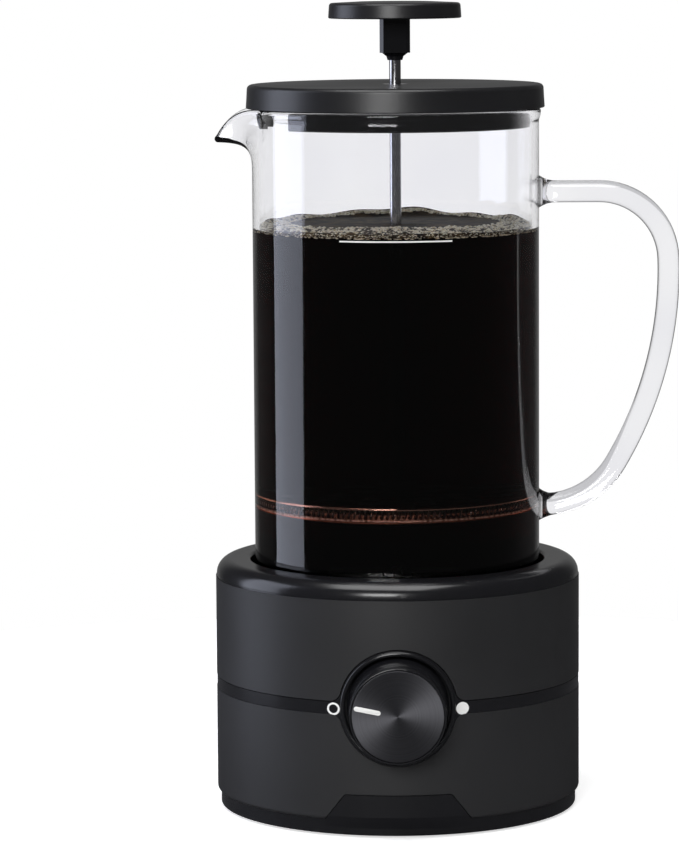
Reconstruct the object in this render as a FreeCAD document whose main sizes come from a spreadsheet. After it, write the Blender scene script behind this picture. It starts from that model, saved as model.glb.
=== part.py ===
"""Cold brew coffee maker: a glass press carafe that stands in a motor base with a front dial.

Millimetres, +Z up. The origin lies on the axis of the base, at the surface that it stands on.
The dial faces -Y, the pouring spout points to -X and the carafe's handle to +X.
"""
import FreeCAD, Part

import math
import os

import Sketcher

Vector = FreeCAD.Vector
X_AXIS = Vector(1, 0, 0)
Z_AXIS = Vector(0, 0, 1)
FIT_TOLERANCE = 0.01
PART_ROUND = 0.6

SIZES = [
    # Base housing, from the table up
    ("foot_height", 0.8, "how far the foot ring stands below the bottom cover"),
    ("foot_inset", 13.5, "foot ring, in from the housing's outside"),
    ("foot_width", 8.0, "foot ring, width"),
    ("foot_seat", 1.2, "depth of the foot ring's groove"),
    ("base_radius", 66.5, "housing, outside radius"),
    ("housing_wall", 2.4, "housing shells, wall"),
    ("plinth_inset", 1.3, "how far the bottom cover's rim stands in from the housing"),
    ("plinth_height", 5.4, "bottom cover's rim, height"),
    ("cover_plate", 2.4, "bottom cover, plate thickness"),
    ("lower_height", 38.0, "lower housing, height"),
    ("band_height", 4.4, "gloss band between the two housings, height"),
    ("band_inset", 0.15, "how far the band lies under the housing's surface"),
    ("seam_gap", 0.3, "dark seam between the band and the upper housing"),
    ("upper_height", 36.0, "upper housing, height"),
    ("cover_inset", 0.3, "step from the upper housing in to the top cover"),
    ("cover_rise", 6.4, "top cover, height above the upper housing"),
    ("shoulder_round", 5.5, "top cover, radius of its shoulder"),
    ("well_gap", 1.6, "gap between the carafe and its well"),
    ("well_depth", 19.9, "carafe well, depth"),
    ("well_wall", 2.2, "carafe well, wall and floor"),
    ("spigot_depth", 3.0, "length of the lips that locate one shell in the next"),
    ("lip_wall", 1.9, "thickness of those lips"),
    ("slip_gap", 0.1, "clearance between shells that slide together"),
    ("edge_round", 1.2, "rounding of the housing's outer edges"),
    # Badge panel on the front of the bottom cover
    ("badge_top", 15.6, "badge panel, height of its top edge above the table"),
    ("badge_half_top", 18.9, "badge panel, half its width at the top"),
    ("badge_half_foot", 26.0, "badge panel, half its width at the plinth"),
    ("badge_proud", 0.4, "how far the badge panel stands out of the housing"),
    ("badge_gap", 0.15, "clearance round the badge panel"),
    # Screw posts and screws
    ("post_inset", 8.5, "long screw posts, in from the housing's outside"),
    ("post_radius", 3.3, "long screw posts, radius"),
    ("boss_height", 2.4, "screw bosses on the bottom cover's plate"),
    ("screw_radius", 1.4, "housing screws, shank radius"),
    ("screw_head", 2.7, "housing screws, head radius"),
    ("screw_head_height", 1.8, "housing screws, head height"),
    ("screw_bite", 12.0, "how deep the housing screws reach into the posts"),
    ("screw_gap", 0.08, "clearance round screw shanks"),
    # Dial and its collar
    ("dial_height", 46.8, "dial axis above the table"),
    ("collar_radius", 20.8, "collar round the dial, outside radius"),
    ("collar_ledge", 0.4, "flush ledge outside the collar's bead"),
    ("collar_proud", 0.9, "how far the collar's bead stands out of the housing"),
    ("collar_corner", 4.0, "fillet where the collar runs into the band"),
    ("dial_well", 18.7, "hole in the collar that the dial sits in, radius"),
    ("dial_well_depth", 5.0, "depth of the dial's seat behind the housing's surface"),
    ("dial_floor", 2.0, "thickness of the plate behind the dial"),
    ("dial_gap", 0.4, "clearance behind the dial"),
    ("knob_back", 18.2, "dial, radius at its back"),
    ("knob_front", 17.0, "dial, radius at its face"),
    ("knob_reach", 15.5, "how far the dial's face stands in front of the housing"),
    ("knob_wall", 1.8, "dial, wall"),
    ("face_radius", 16.3, "spun metal face, radius"),
    ("face_sheet", 0.8, "spun metal face, thickness"),
    ("hub_radius", 5.5, "dial's inner hub, radius"),
    ("dial_shaft_radius", 3.0, "control shaft, radius"),
    ("shaft_running_gap", 0.05, "running clearance of shafts in their bushings"),
    ("control_width", 17.0, "speed control, width and height"),
    ("control_depth", 9.0, "speed control, depth"),
    ("bushing_radius", 3.8, "speed control, radius of its threaded bushing"),
    ("nut_flats", 10.0, "speed control's nut, across flats"),
    ("nut_height", 1.8, "speed control's nut, height"),
    # Cord gland at the back right of the base
    ("gland_angle", 17.0, "gland, degrees behind the +X axis"),
    ("gland_drop", 3.2, "gland's axis below the top of the band"),
    ("gland_flange", 3.65, "gland, radius of its outer flange"),
    ("gland_neck", 3.2, "gland, radius where it passes through the housing"),
    ("gland_bore", 2.2, "gland, radius of its hole for the cord"),
    ("gland_proud", 0.9, "how far the gland stands out of the housing"),
    ("gland_tail", 8.0, "how far the gland reaches into the housing"),
    # Motor and magnetic drive
    ("bracket_drop", 21.3, "motor bracket's top face below the well's floor"),
    ("bracket_radius", 35.5, "motor bracket, radius"),
    ("bracket_sheet", 2.0, "motor bracket, thickness"),
    ("stand_circle", 31.0, "radius of the circle of the bracket's stand-offs"),
    ("stand_radius", 3.2, "bracket's stand-offs, radius"),
    ("motor_radius", 17.5, "motor can, radius"),
    ("motor_length", 24.0, "motor can, length"),
    ("motor_collar", 5.0, "motor's front collar, radius"),
    ("motor_screw_circle", 10.5, "radius of the circle of the motor's screws"),
    ("shaft_radius", 1.6, "motor shaft, radius"),
    ("shaft_rise", 17.0, "motor shaft, length above the bracket"),
    ("carrier_radius", 22.0, "magnet carrier, radius"),
    ("carrier_height", 7.0, "magnet carrier, height"),
    ("carrier_gap", 4.8, "air gap between magnet carrier and well"),
    ("magnet_radius", 6.0, "drive magnets, radius"),
    ("magnet_height", 5.0, "drive magnets, height"),
    ("magnet_circle", 14.0, "radius of the circle of the magnets"),
    # Control board
    ("board_width", 58.0, "control board, left to right"),
    ("board_depth", 40.0, "control board, front to back"),
    ("board_sheet", 1.6, "control board, thickness"),
    ("board_back", 12.0, "how far the board's middle lies behind the axis"),
    ("board_stand", 4.6, "stand-offs below the control board"),
    ("board_screw_inset", 4.0, "control board, screws in from its edges"),
    ("transformer_width", 16.0, "transformer on the board, left to right"),
    ("transformer_depth", 14.0, "transformer on the board, front to back"),
    ("transformer_height", 8.0, "transformer on the board, height"),
    ("relay_width", 12.0, "relay on the board, left to right"),
    ("relay_depth", 8.0, "relay on the board, front to back"),
    ("relay_height", 7.0, "relay on the board, height"),
    ("capacitor_radius", 4.0, "capacitors on the board, radius"),
    ("capacitor_height", 8.5, "capacitors on the board, height"),
    ("capacitor_pitch", 10.0, "capacitors on the board, from one to the next"),
    ("terminal_width", 10.0, "terminal block on the board, left to right"),
    ("terminal_depth", 3.2, "terminal block on the board, front to back"),
    ("terminal_height", 5.0, "terminal block on the board, height"),
    ("part_inset", 8.0, "parts on the board, in from its edges"),
    # Carafe
    ("cushion_inset", 8.0, "cushion ring in the well, in from the carafe's outside"),
    ("cushion_width", 14.0, "cushion ring in the well, width"),
    ("cushion_height", 1.2, "cushion ring in the well, height"),
    ("seat_gap", 0.3, "gap between parts that lift off and what they stand on"),
    ("glass_radius", 52.0, "carafe, outside radius"),
    ("glass_wall", 2.3, "carafe, wall"),
    ("glass_floor", 4.0, "carafe, thickness of its floor"),
    ("glass_height", 182.1, "carafe, height of its rim above its foot"),
    ("glass_heel", 5.0, "carafe, rounding between wall and foot"),
    ("foot_hollow", 0.8, "carafe, rise of its floor inside the foot"),
    ("rim_bead", 0.7, "carafe, how far the rim's bead stands out"),
    ("rim_height", 3.2, "carafe, height of the rim's bead"),
    ("spout_reach", 12.4, "spout, how far its lip reaches out of the wall"),
    ("spout_drop", 11.2, "spout, its lip below the rim"),
    ("spout_root", 24.0, "spout, its foot on the wall below the rim"),
    ("spout_half", 16.5, "spout, half its width at the wall"),
    ("lip_half", 3.0, "spout, half its width at the lip"),
    ("spout_wall", 1.8, "spout, glass thickness"),
    ("handle_radius", 4.0, "handle, radius of its glass rod"),
    ("handle_drop", 30.4, "handle's top bar below the rim"),
    ("handle_reach", 21.7, "handle, straight length of its top bar from the wall"),
    ("handle_corner", 25.3, "handle, radius of its upper bend"),
    ("grip_difference", 44.1, "handle, radius of its long grip less than the carafe's height"),
    ("handle_tail", 31.0, "handle, radius of its lower bend"),
    ("handle_corner_turn", 88.1, "handle, degrees that the upper bend turns"),
    ("handle_grip_turn", 32.5, "handle, degrees that the grip turns"),
    ("weld_radius", 7.2, "handle, radius of its weld pads at the wall"),
    ("weld_length", 7.0, "handle, length of its weld pads"),
    # Lid
    ("lid_overhang", 2.1, "lid's lower edge beyond the carafe's wall"),
    ("lid_height", 8.5, "lid, height"),
    ("lid_draft", 0.5, "how much narrower the lid is at its top"),
    ("lid_round", 1.6, "lid, rounding of its top edge"),
    ("lid_wall", 1.9, "lid, wall"),
    ("skirt_gap", 0.8, "clearance between the lid's skirt and the glass"),
    ("skirt_depth", 7.0, "lid's skirt, depth inside the carafe"),
    ("skirt_wall", 2.0, "lid's skirt, wall"),
    ("skirt_plate", 1.8, "lid insert, thickness of its plate"),
    ("window_angle", 25.0, "pouring windows in the skirt, degrees each"),
    ("window_pitch", 28.0, "pouring windows in the skirt, degrees from one to the next"),
    ("window_height", 6.6, "pouring windows in the skirt, height from its lower edge"),
    ("bushing_wall", 2.4, "rod bushing, wall"),
    ("bushing_length", 11.0, "rod bushing, length"),
    # Plunger
    ("rod_radius", 2.1, "plunger rod, radius"),
    ("stem_rest", 8.6, "bottom of the knob's stem above the lid"),
    ("neck_height", 2.7, "stem's neck, height"),
    ("neck_radius", 2.7, "stem's neck, radius at its tip"),
    ("stem_height", 12.4, "stem, height of its square shank"),
    ("stem_half", 5.5, "stem, half its width"),
    ("stem_chamfer", 1.35, "stem, chamfer of its corners"),
    ("knob_radius", 24.1, "plunger knob, radius"),
    ("knob_height", 6.2, "plunger knob, height"),
    ("knob_crown", 0.7, "plunger knob, rise of its crown"),
    ("tenon_radius", 4.4, "stem's tenon in the knob, radius"),
    ("tenon_length", 3.0, "stem's tenon in the knob, length"),
    ("rod_grip", 11.0, "how far the rod reaches into the stem"),
    ("filter_level", 115.6, "spiral plate's top face above the table"),
    ("filter_gap", 0.4, "clearance between the filter's spring and the glass"),
    ("spring_coil", 1.7, "filter's edge spring, radius of its coil"),
    ("plate_sheet", 1.0, "filter plates, thickness"),
    ("mesh_sheet", 0.6, "filter mesh, thickness"),
    ("collar_height", 5.4, "collar that holds the filter on the rod, height"),
    ("hub_height", 5.0, "threaded hub below the filter, height"),
    # Stirrer
    ("stirrer_radius", 20.0, "stirrer, radius"),
    ("stirrer_height", 5.0, "stirrer, height of its disc"),
    ("stirrer_nub", 1.2, "stirrer, height of the nub that it turns on"),
    ("fin_height", 3.4, "stirrer, height of its fins"),
    ("fin_sheet", 2.0, "stirrer, thickness of its fins"),
    ("stir_magnet_radius", 5.0, "stirrer magnets, radius"),
    ("stir_magnet_height", 3.0, "stirrer magnets, height"),
]


class Size:
    """A length that carries its number and the sheet formula that gives it."""

    def __init__(self, formula, number):
        self.formula = formula
        self.number = number

    def joined(self, sign, other, number):
        other = as_size(other)
        return Size(f"({self.formula} {sign} {other.formula})", number)

    def __add__(self, other):
        return self.joined("+", other, self.number + float(other))

    def __sub__(self, other):
        return self.joined("-", other, self.number - float(other))

    def __mul__(self, other):
        return self.joined("*", other, self.number * float(other))

    def __truediv__(self, other):
        return self.joined("/", other, self.number / float(other))

    def __neg__(self):
        return Size(f"(-1 * {self.formula})", -self.number)

    def __float__(self):
        return float(self.number)


def as_size(value):
    return value if isinstance(value, Size) else Size(repr(float(value)), float(value))


def cosine(angle):
    """Cosine of an angle in degrees."""
    angle = as_size(angle)
    return Size(f"cos({angle.formula})", math.cos(math.radians(angle.number)))


def sine(angle):
    """Sine of an angle in degrees."""
    angle = as_size(angle)
    return Size(f"sin({angle.formula})", math.sin(math.radians(angle.number)))


class SizeSheet:
    """The document's sheet of driving dimensions, each read by its alias."""

    def __init__(self, document):
        self.sheet = document.addObject("Spreadsheet::Sheet", "Sizes")
        for row, (alias, number, note) in enumerate(SIZES, start=1):
            self.sheet.set(f"A{row}", note)
            self.sheet.set(f"B{row}", str(number))
            self.sheet.setAlias(f"B{row}", alias)
        document.recompute()

    def __getattr__(self, alias):
        return Size(f"Sizes.{alias}", float(self.sheet.get(alias)))


doc = FreeCAD.newDocument("ColdBrewCoffeeMaker")
size = SizeSheet(doc)
pieces = []


# Ways of making a piece

def bind(target, property_name, value):
    target.setExpression(property_name, as_size(value).formula)


def new_body(label):
    body = doc.addObject("PartDesign::Body", label)
    body.Label = label
    return body


def origin_feature(body, role):
    return next(item for item in body.Origin.OriginFeatures if item.Role == role)


def new_sketch(body, name, role, offset=0):
    """A sketch on one of the body's own origin planes, moved along the plane's normal."""
    sketch = body.newObject("Sketcher::SketchObject", name)
    sketch.AttachmentSupport = [(origin_feature(body, role), "")]
    sketch.MapMode = "FlatFace"
    bind(sketch, ".AttachmentOffset.Base.z", offset)
    return sketch


def pin_point(sketch, edge, end, x, y):
    """Fix one point of a sketch at a place that the sheet gives."""
    for kind, value in (("DistanceX", x), ("DistanceY", y)):
        index = sketch.addConstraint(Sketcher.Constraint(kind, -1, 1, edge, end, float(value)))
        bind(sketch, f"Constraints[{index}]", value)


def draw_outline(sketch, corners):
    """A closed outline of straight lines through the corners, each a pair of sizes."""
    first = sketch.GeometryCount
    count = len(corners)
    places = [Vector(float(corner[0]), float(corner[1]), 0) for corner in corners]
    for number in range(count):
        line = Part.LineSegment(places[number], places[(number + 1) % count])
        sketch.addGeometry(line, False)
    for number in range(count):
        following = (number + 1) % count
        sketch.addConstraint(
            Sketcher.Constraint("Coincident", first + number, 2, first + following, 1)
        )
    for number, corner in enumerate(corners):
        pin_point(sketch, first + number, 1, corner[0], corner[1])


def draw_circle(sketch, x, y, radius):
    circle = Part.Circle(Vector(float(x), float(y), 0), Z_AXIS, float(radius))
    edge = sketch.addGeometry(circle, False)
    index = sketch.addConstraint(Sketcher.Constraint("Radius", edge, float(radius)))
    bind(sketch, f"Constraints[{index}]", radius)
    pin_point(sketch, edge, 3, x, y)


def circle_edges(shape, radius, level):
    """Names of the circles about Z that have this radius and height."""
    names = []
    for number, edge in enumerate(shape.Edges, start=1):
        if not isinstance(edge.Curve, Part.Circle):
            continue
        centre = edge.Curve.Center
        off_axis = math.hypot(centre.x, centre.y)
        misses = (edge.Curve.Radius - float(radius), centre.z - float(level), off_axis)
        if max(abs(miss) for miss in misses) < FIT_TOLERANCE:
            names.append(f"Edge{number}")
    return names


def round_corners(body, corners):
    """Round the turned edges whose corner states a radius, one feature for each radius."""
    radii = {}
    for corner in corners:
        if len(corner) == 3:
            radii.setdefault(as_size(corner[2]).formula, []).append(corner)
    for group in radii.values():
        base = body.Tip
        names = []
        for radius, level, _ in group:
            names += circle_edges(base.Shape, radius, level)
        fillet = body.newObject("PartDesign::Fillet", body.Label + "_round")
        fillet.Base = (base, names)
        bind(fillet, "Radius", group[0][2])
        doc.recompute()


def add_turning(body, name, corners, kind="PartDesign::Revolution"):
    """Turn an outline of (radius, height) corners about the body's Z axis."""
    sketch = new_sketch(body, name + "_outline", "XZ_Plane")
    draw_outline(sketch, corners)
    feature = body.newObject(kind, name)
    feature.Profile = sketch
    feature.ReferenceAxis = (sketch, ["V_Axis"])
    feature.Angle = 360
    doc.recompute()
    return feature


def turned(label, corners):
    """A turned piece. A corner's third value, where it has one, rounds its edge."""
    body = new_body(label)
    add_turning(body, label + "_turn", corners)
    round_corners(body, corners)
    return body


def pad(body, name, sketch, length, backwards=False):
    feature = body.newObject("PartDesign::Pad", name)
    feature.Profile = sketch
    bind(feature, "Length", length)
    feature.Reversed = backwards
    doc.recompute()
    return feature


def pocket(body, name, sketch, length, upwards=True):
    """Cut along the sketch's normal, or against it."""
    before = body.Tip.Shape.Volume
    feature = body.newObject("PartDesign::Pocket", name)
    feature.Profile = sketch
    bind(feature, "Length", length)
    feature.Reversed = upwards
    doc.recompute()
    if feature.Shape.Volume >= before:
        raise ValueError(f"{name} cuts nothing")
    return feature


def repeat_round(body, feature, count):
    pattern = body.newObject("PartDesign::PolarPattern", feature.Name + "_ring")
    pattern.Originals = [feature]
    pattern.Axis = (origin_feature(body, "Z_Axis"), [""])
    pattern.Angle = 360
    pattern.Occurrences = count
    body.Tip = pattern
    doc.recompute()
    return pattern


def ring_of_posts(body, name, count, turn, circle, radius, base, length, downwards=False):
    """Round posts on a circle about Z, from a level up or down."""
    circle = as_size(circle)
    sketch = new_sketch(body, name + "_outline", "XY_Plane", base)
    draw_circle(sketch, circle * cosine(turn), circle * sine(turn), radius)
    return repeat_round(body, pad(body, name, sketch, length, downwards), count)


def ring_of_holes(body, name, count, turn, circle, radius, base, length):
    """Round holes on a circle about Z, from a level up."""
    circle = as_size(circle)
    sketch = new_sketch(body, name + "_outline", "XY_Plane", base)
    draw_circle(sketch, circle * cosine(turn), circle * sine(turn), radius)
    return repeat_round(body, pocket(body, name, sketch, length), count)


def cylinder(name, radius, height, level, angle=360, turn=0):
    """A round bar, or a sector of one, standing on a level."""
    bar = doc.addObject("Part::Cylinder", name)
    bind(bar, "Radius", radius)
    bind(bar, "Height", height)
    bind(bar, "Angle", angle)
    bind(bar, "Placement.Base.z", level)
    bar.Placement.Rotation = FreeCAD.Rotation(Z_AXIS, 0)
    bind(bar, "Placement.Rotation.Angle", turn)
    return bar


def plain_shape(name, shape):
    feature = doc.addObject("Part::Feature", name)
    feature.Shape = shape
    return feature


def cut(label, base, tools):
    """The base with each tool cut out of it."""
    for number, tool in enumerate(tools, start=1):
        last = number == len(tools)
        feature = doc.addObject("Part::Cut", label if last else f"{label}_cut{number}")
        feature.Base = base
        feature.Tool = tool
        base = feature
    doc.recompute()
    return base


def joined(label, shapes):
    feature = doc.addObject("Part::MultiFuse", label)
    feature.Shapes = shapes
    doc.recompute()
    return feature


def common(label, first, second):
    feature = doc.addObject("Part::MultiCommon", label)
    feature.Shapes = [first, second]
    doc.recompute()
    return feature


def keep(feature, label=None):
    """Count a finished feature as one of the object's pieces."""
    feature.Label = label or feature.Label
    pieces.append(feature)
    return feature


def face_front(feature, height):
    """Lay a piece that was made about Z along -Y, at the dial's height."""
    feature.Placement = FreeCAD.Placement(Vector(0, 0, 0), FreeCAD.Rotation(X_AXIS, 90))
    bind(feature, "Placement.Base.z", height)
    return feature


# Levels and radii that several pieces share

well_radius = size.glass_radius + size.well_gap
post_circle = size.base_radius - size.post_inset
foot_outer = size.base_radius - size.foot_inset
foot_inner = foot_outer - size.foot_width
cushion_outer = size.glass_radius - size.cushion_inset
cushion_inner = cushion_outer - size.cushion_width
lid_radius = size.glass_radius + size.lid_overhang
grip_radius = size.glass_height - size.grip_difference
housing_bottom = size.foot_height + size.plinth_height
band_bottom = housing_bottom + size.lower_height + size.slip_gap
band_top = band_bottom + size.band_height
upper_bottom = band_top + size.seam_gap
upper_top = upper_bottom + size.upper_height
cover_top = upper_top + size.cover_rise
well_floor = cover_top - size.well_depth
well_under = well_floor - size.well_wall
housing_inner = size.base_radius - size.housing_wall
lip_outer = housing_inner - size.slip_gap
lip_inner = lip_outer - size.lip_wall
plinth_radius = size.base_radius - size.plinth_inset
plate_top = size.foot_height + size.cover_plate
boss_top = plate_top + size.boss_height
bracket_top = well_under - size.bracket_drop
bracket_bottom = bracket_top - size.bracket_sheet
carafe_foot = well_floor + size.cushion_height + size.seat_gap
carafe_inner = size.glass_radius - size.glass_wall
carafe_floor = carafe_foot + size.glass_floor
rim_top = carafe_foot + size.glass_height
lid_bottom = rim_top + size.seat_gap
lid_top = lid_bottom + size.lid_height
stem_bottom = lid_top + size.stem_rest
shank_bottom = stem_bottom + size.neck_height
knob_bottom = shank_bottom + size.stem_height
rod_top = stem_bottom + size.rod_grip
QUARTER_TURN = 45
POSTS = 4
STANDS = 3


# Foot ring and bottom cover

def foot_ring():
    top = size.foot_height + size.foot_seat
    return turned("foot_ring", [
        (foot_inner, 0, 0.4),
        (foot_outer, 0, 0.4),
        (foot_outer, top),
        (foot_inner, top),
    ])


def badge_outline(gap):
    """The badge panel's front outline, grown by a gap: wide at the plinth, narrow at its top."""
    low = float(size.foot_height + size.plinth_height / 2)
    foot = float(housing_bottom) + gap
    top = float(size.badge_top) + gap
    half_top = float(size.badge_half_top) + gap
    half_foot = float(size.badge_half_foot) + gap
    places = [
        (-half_foot, low),
        (half_foot, low),
        (half_foot, foot),
        (half_top, top),
        (-half_top, top),
        (-half_foot, foot),
    ]
    corners = [Vector(x, 0, z) for x, z in places]
    wire = Part.makePolygon(corners + corners[:1])
    prism = Part.Face(wire).extrude(Vector(0, -float(size.base_radius) - 5, 0))
    upper = [
        edge for edge in prism.Edges
        if all(abs(vertex.Z - top) < FIT_TOLERANCE for vertex in edge.Vertexes)
        and abs(edge.Vertexes[0].X - edge.Vertexes[1].X) < FIT_TOLERANCE
    ]
    return prism.makeFillet(float(size.edge_round) + gap, upper)


def bottom_cover():
    groove_inner = foot_inner - size.slip_gap
    groove_outer = foot_outer + size.slip_gap
    groove_top = size.foot_height + size.foot_seat
    tray = turned("bottom_tray", [
        (0, size.foot_height),
        (groove_inner, size.foot_height),
        (groove_inner, groove_top),
        (groove_outer, groove_top),
        (groove_outer, size.foot_height),
        (plinth_radius, size.foot_height, size.edge_round / 2),
        (plinth_radius, housing_bottom),
        (lip_outer, housing_bottom),
        (lip_outer, housing_bottom + size.spigot_depth),
        (lip_inner, housing_bottom + size.spigot_depth),
        (lip_inner, plate_top),
        (0, plate_top),
    ])
    ring_of_posts(
        tray, "screw_boss", POSTS, QUARTER_TURN, post_circle,
        size.post_radius, plate_top, size.boss_height,
    )
    ring_of_holes(
        tray, "screw_hole", POSTS, QUARTER_TURN, post_circle,
        size.screw_radius + size.screw_gap, size.foot_height, boss_top,
    )
    ring_of_holes(
        tray, "screw_recess", POSTS, QUARTER_TURN, post_circle,
        size.screw_head + size.screw_gap, size.foot_height, size.cover_plate,
    )
    for name, x, y in board_corners():
        sketch = new_sketch(tray, name + "_outline", "XY_Plane", plate_top)
        draw_circle(sketch, x, y, size.screw_head)
        pad(tray, name, sketch, size.board_stand)
        hole = new_sketch(tray, name + "_pilot_outline", "XY_Plane", plate_top)
        draw_circle(hole, x, y, size.screw_radius)
        pocket(tray, name + "_pilot", hole, size.board_stand)
    panel_radius = size.base_radius + size.badge_proud
    panel_ring = turned("badge_ring", [
        (lip_outer - size.lip_wall / 2, size.foot_height + size.plinth_height / 2),
        (plinth_radius, size.foot_height + size.plinth_height / 2),
        (panel_radius, housing_bottom + size.badge_gap * 10),
        (panel_radius, size.badge_top + 2),
        (lip_outer, size.badge_top + 2),
        (lip_outer, housing_bottom),
        (lip_outer - size.lip_wall / 2, housing_bottom),
    ])
    panel = common("badge_panel", panel_ring, plain_shape("badge_prism", badge_outline(0)))
    return joined("bottom_cover", [tray, panel])


def screw_row(label, places, level, radius, head_radius, head_height, length):
    """Pan head screws that point up from their heads, one solid for each place."""
    screws = []
    for x, y in places:
        foot = Vector(float(x), float(y), float(level))
        head = Part.makeCylinder(float(head_radius), float(head_height), foot)
        shank = Part.makeCylinder(
            float(radius), float(head_height + length), foot
        )
        driver = Part.makeBox(
            float(head_radius) * 1.2, float(head_radius) * 0.3, float(head_height) / 2,
            foot - Vector(float(head_radius) * 0.6, float(head_radius) * 0.15, 0),
        )
        screws.append(head.fuse(shank).removeSplitter().cut(driver))
    return plain_shape(label, Part.makeCompound(screws))


def round_places(circle, count, turn):
    step = 360.0 / count
    return [
        (float(circle * cosine(turn + step * number)), float(circle * sine(turn + step * number)))
        for number in range(count)
    ]


def cover_screws():
    head_level = plate_top - size.screw_head_height
    return screw_row(
        "cover_screws", round_places(post_circle, POSTS, QUARTER_TURN), head_level,
        size.screw_radius, size.screw_head, size.screw_head_height,
        size.boss_height + size.screw_bite,
    )


# Housing shells, gloss band and dial collar

def collar_outline(radius, corner, top, bottom, reach):
    """Front outline of the band and the round collar that swells out of it.

    The collar's circle is centred on the dial's axis. It runs into the band's two edges,
    which lie at the heights top and bottom, through a fillet at each of four corners.
    """
    axis = float(size.dial_height)
    above = top - axis
    below = axis - bottom

    def corner_arc(rise, side, sign):
        centre_x = math.sqrt((radius + corner) ** 2 - (rise + corner) ** 2)
        centre = Vector(side * centre_x, 0, axis + sign * (rise + corner))
        on_band = Vector(centre.x, 0, axis + sign * rise)
        axis_point = Vector(0, 0, axis)
        on_circle = axis_point + (centre - axis_point) * (radius / (radius + corner))
        middle = centre + ((on_band + on_circle) / 2 - centre).normalize() * corner
        return on_band, middle, on_circle

    left_up = corner_arc(above, -1, 1)
    right_up = corner_arc(above, 1, 1)
    left_down = corner_arc(below, -1, -1)
    right_down = corner_arc(below, 1, -1)
    crown = Vector(0, 0, axis + radius)
    keel = Vector(0, 0, axis - radius)
    far_left_top = Vector(-reach, 0, top)
    far_right_top = Vector(reach, 0, top)
    far_left_bottom = Vector(-reach, 0, bottom)
    far_right_bottom = Vector(reach, 0, bottom)
    edges = [
        Part.LineSegment(far_left_top, left_up[0]),
        Part.Arc(*left_up),
        Part.Arc(left_up[2], crown, right_up[2]),
        Part.Arc(*reversed(right_up)),
        Part.LineSegment(right_up[0], far_right_top),
        Part.LineSegment(far_right_top, far_right_bottom),
        Part.LineSegment(far_right_bottom, right_down[0]),
        Part.Arc(*right_down),
        Part.Arc(right_down[2], keel, left_down[2]),
        Part.Arc(*reversed(left_down)),
        Part.LineSegment(left_down[0], far_left_bottom),
        Part.LineSegment(far_left_bottom, far_left_top),
    ]
    return Part.Face(Part.Wire([edge.toShape() for edge in edges]))


def collar_prism(name, gap_up, gap_round):
    """The collar's outline pushed through the front wall, grown by the gaps given."""
    outline = collar_outline(
        float(size.collar_radius) + gap_round,
        float(size.collar_corner) - gap_round,
        float(band_top) + gap_up,
        float(band_bottom) - float(size.slip_gap),
        float(size.collar_radius + size.collar_corner * 2),
    )
    return plain_shape(name, outline.extrude(Vector(0, -float(size.base_radius) - 5, 0)))


def gland_bore_tool(name, radius):
    """A round bar along the gland's axis, through the wall."""
    bar = doc.addObject("Part::Cylinder", name)
    bind(bar, "Radius", radius)
    bind(bar, "Height", size.base_radius + 5)
    return gland_placed(bar)


def gland_placed(feature):
    """Turn a piece that was made about Z to point out of the base at the gland."""
    lying = FreeCAD.Rotation(Vector(0, 1, 0), 90)
    turn = FreeCAD.Rotation(Z_AXIS, float(size.gland_angle))
    feature.Placement = FreeCAD.Placement(Vector(0, 0, 0), turn.multiply(lying))
    bind(feature, "Placement.Base.z", band_top - size.gland_drop)
    return feature


def lower_housing():
    shell = turned("lower_shell", [
        (housing_inner, housing_bottom),
        (size.base_radius, housing_bottom, size.edge_round),
        (size.base_radius, band_bottom - size.slip_gap),
        (housing_inner, band_bottom - size.slip_gap),
    ])
    gap = float(size.slip_gap)
    return cut("lower_housing", shell, [
        collar_prism("collar_space_low", gap, gap),
        plain_shape("badge_space", badge_outline(float(size.badge_gap))),
        gland_bore_tool("gland_space_low", size.gland_neck + size.slip_gap),
    ])


def upper_housing():
    shell = turned("upper_shell", [
        (housing_inner, upper_bottom),
        (size.base_radius, upper_bottom),
        (size.base_radius, upper_top),
        (housing_inner, upper_top),
    ])
    gap = float(size.seam_gap)
    return cut("upper_housing", shell, [
        collar_prism("collar_space_high", gap, gap),
        gland_bore_tool("gland_space_high", size.gland_neck + size.slip_gap),
    ])


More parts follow.
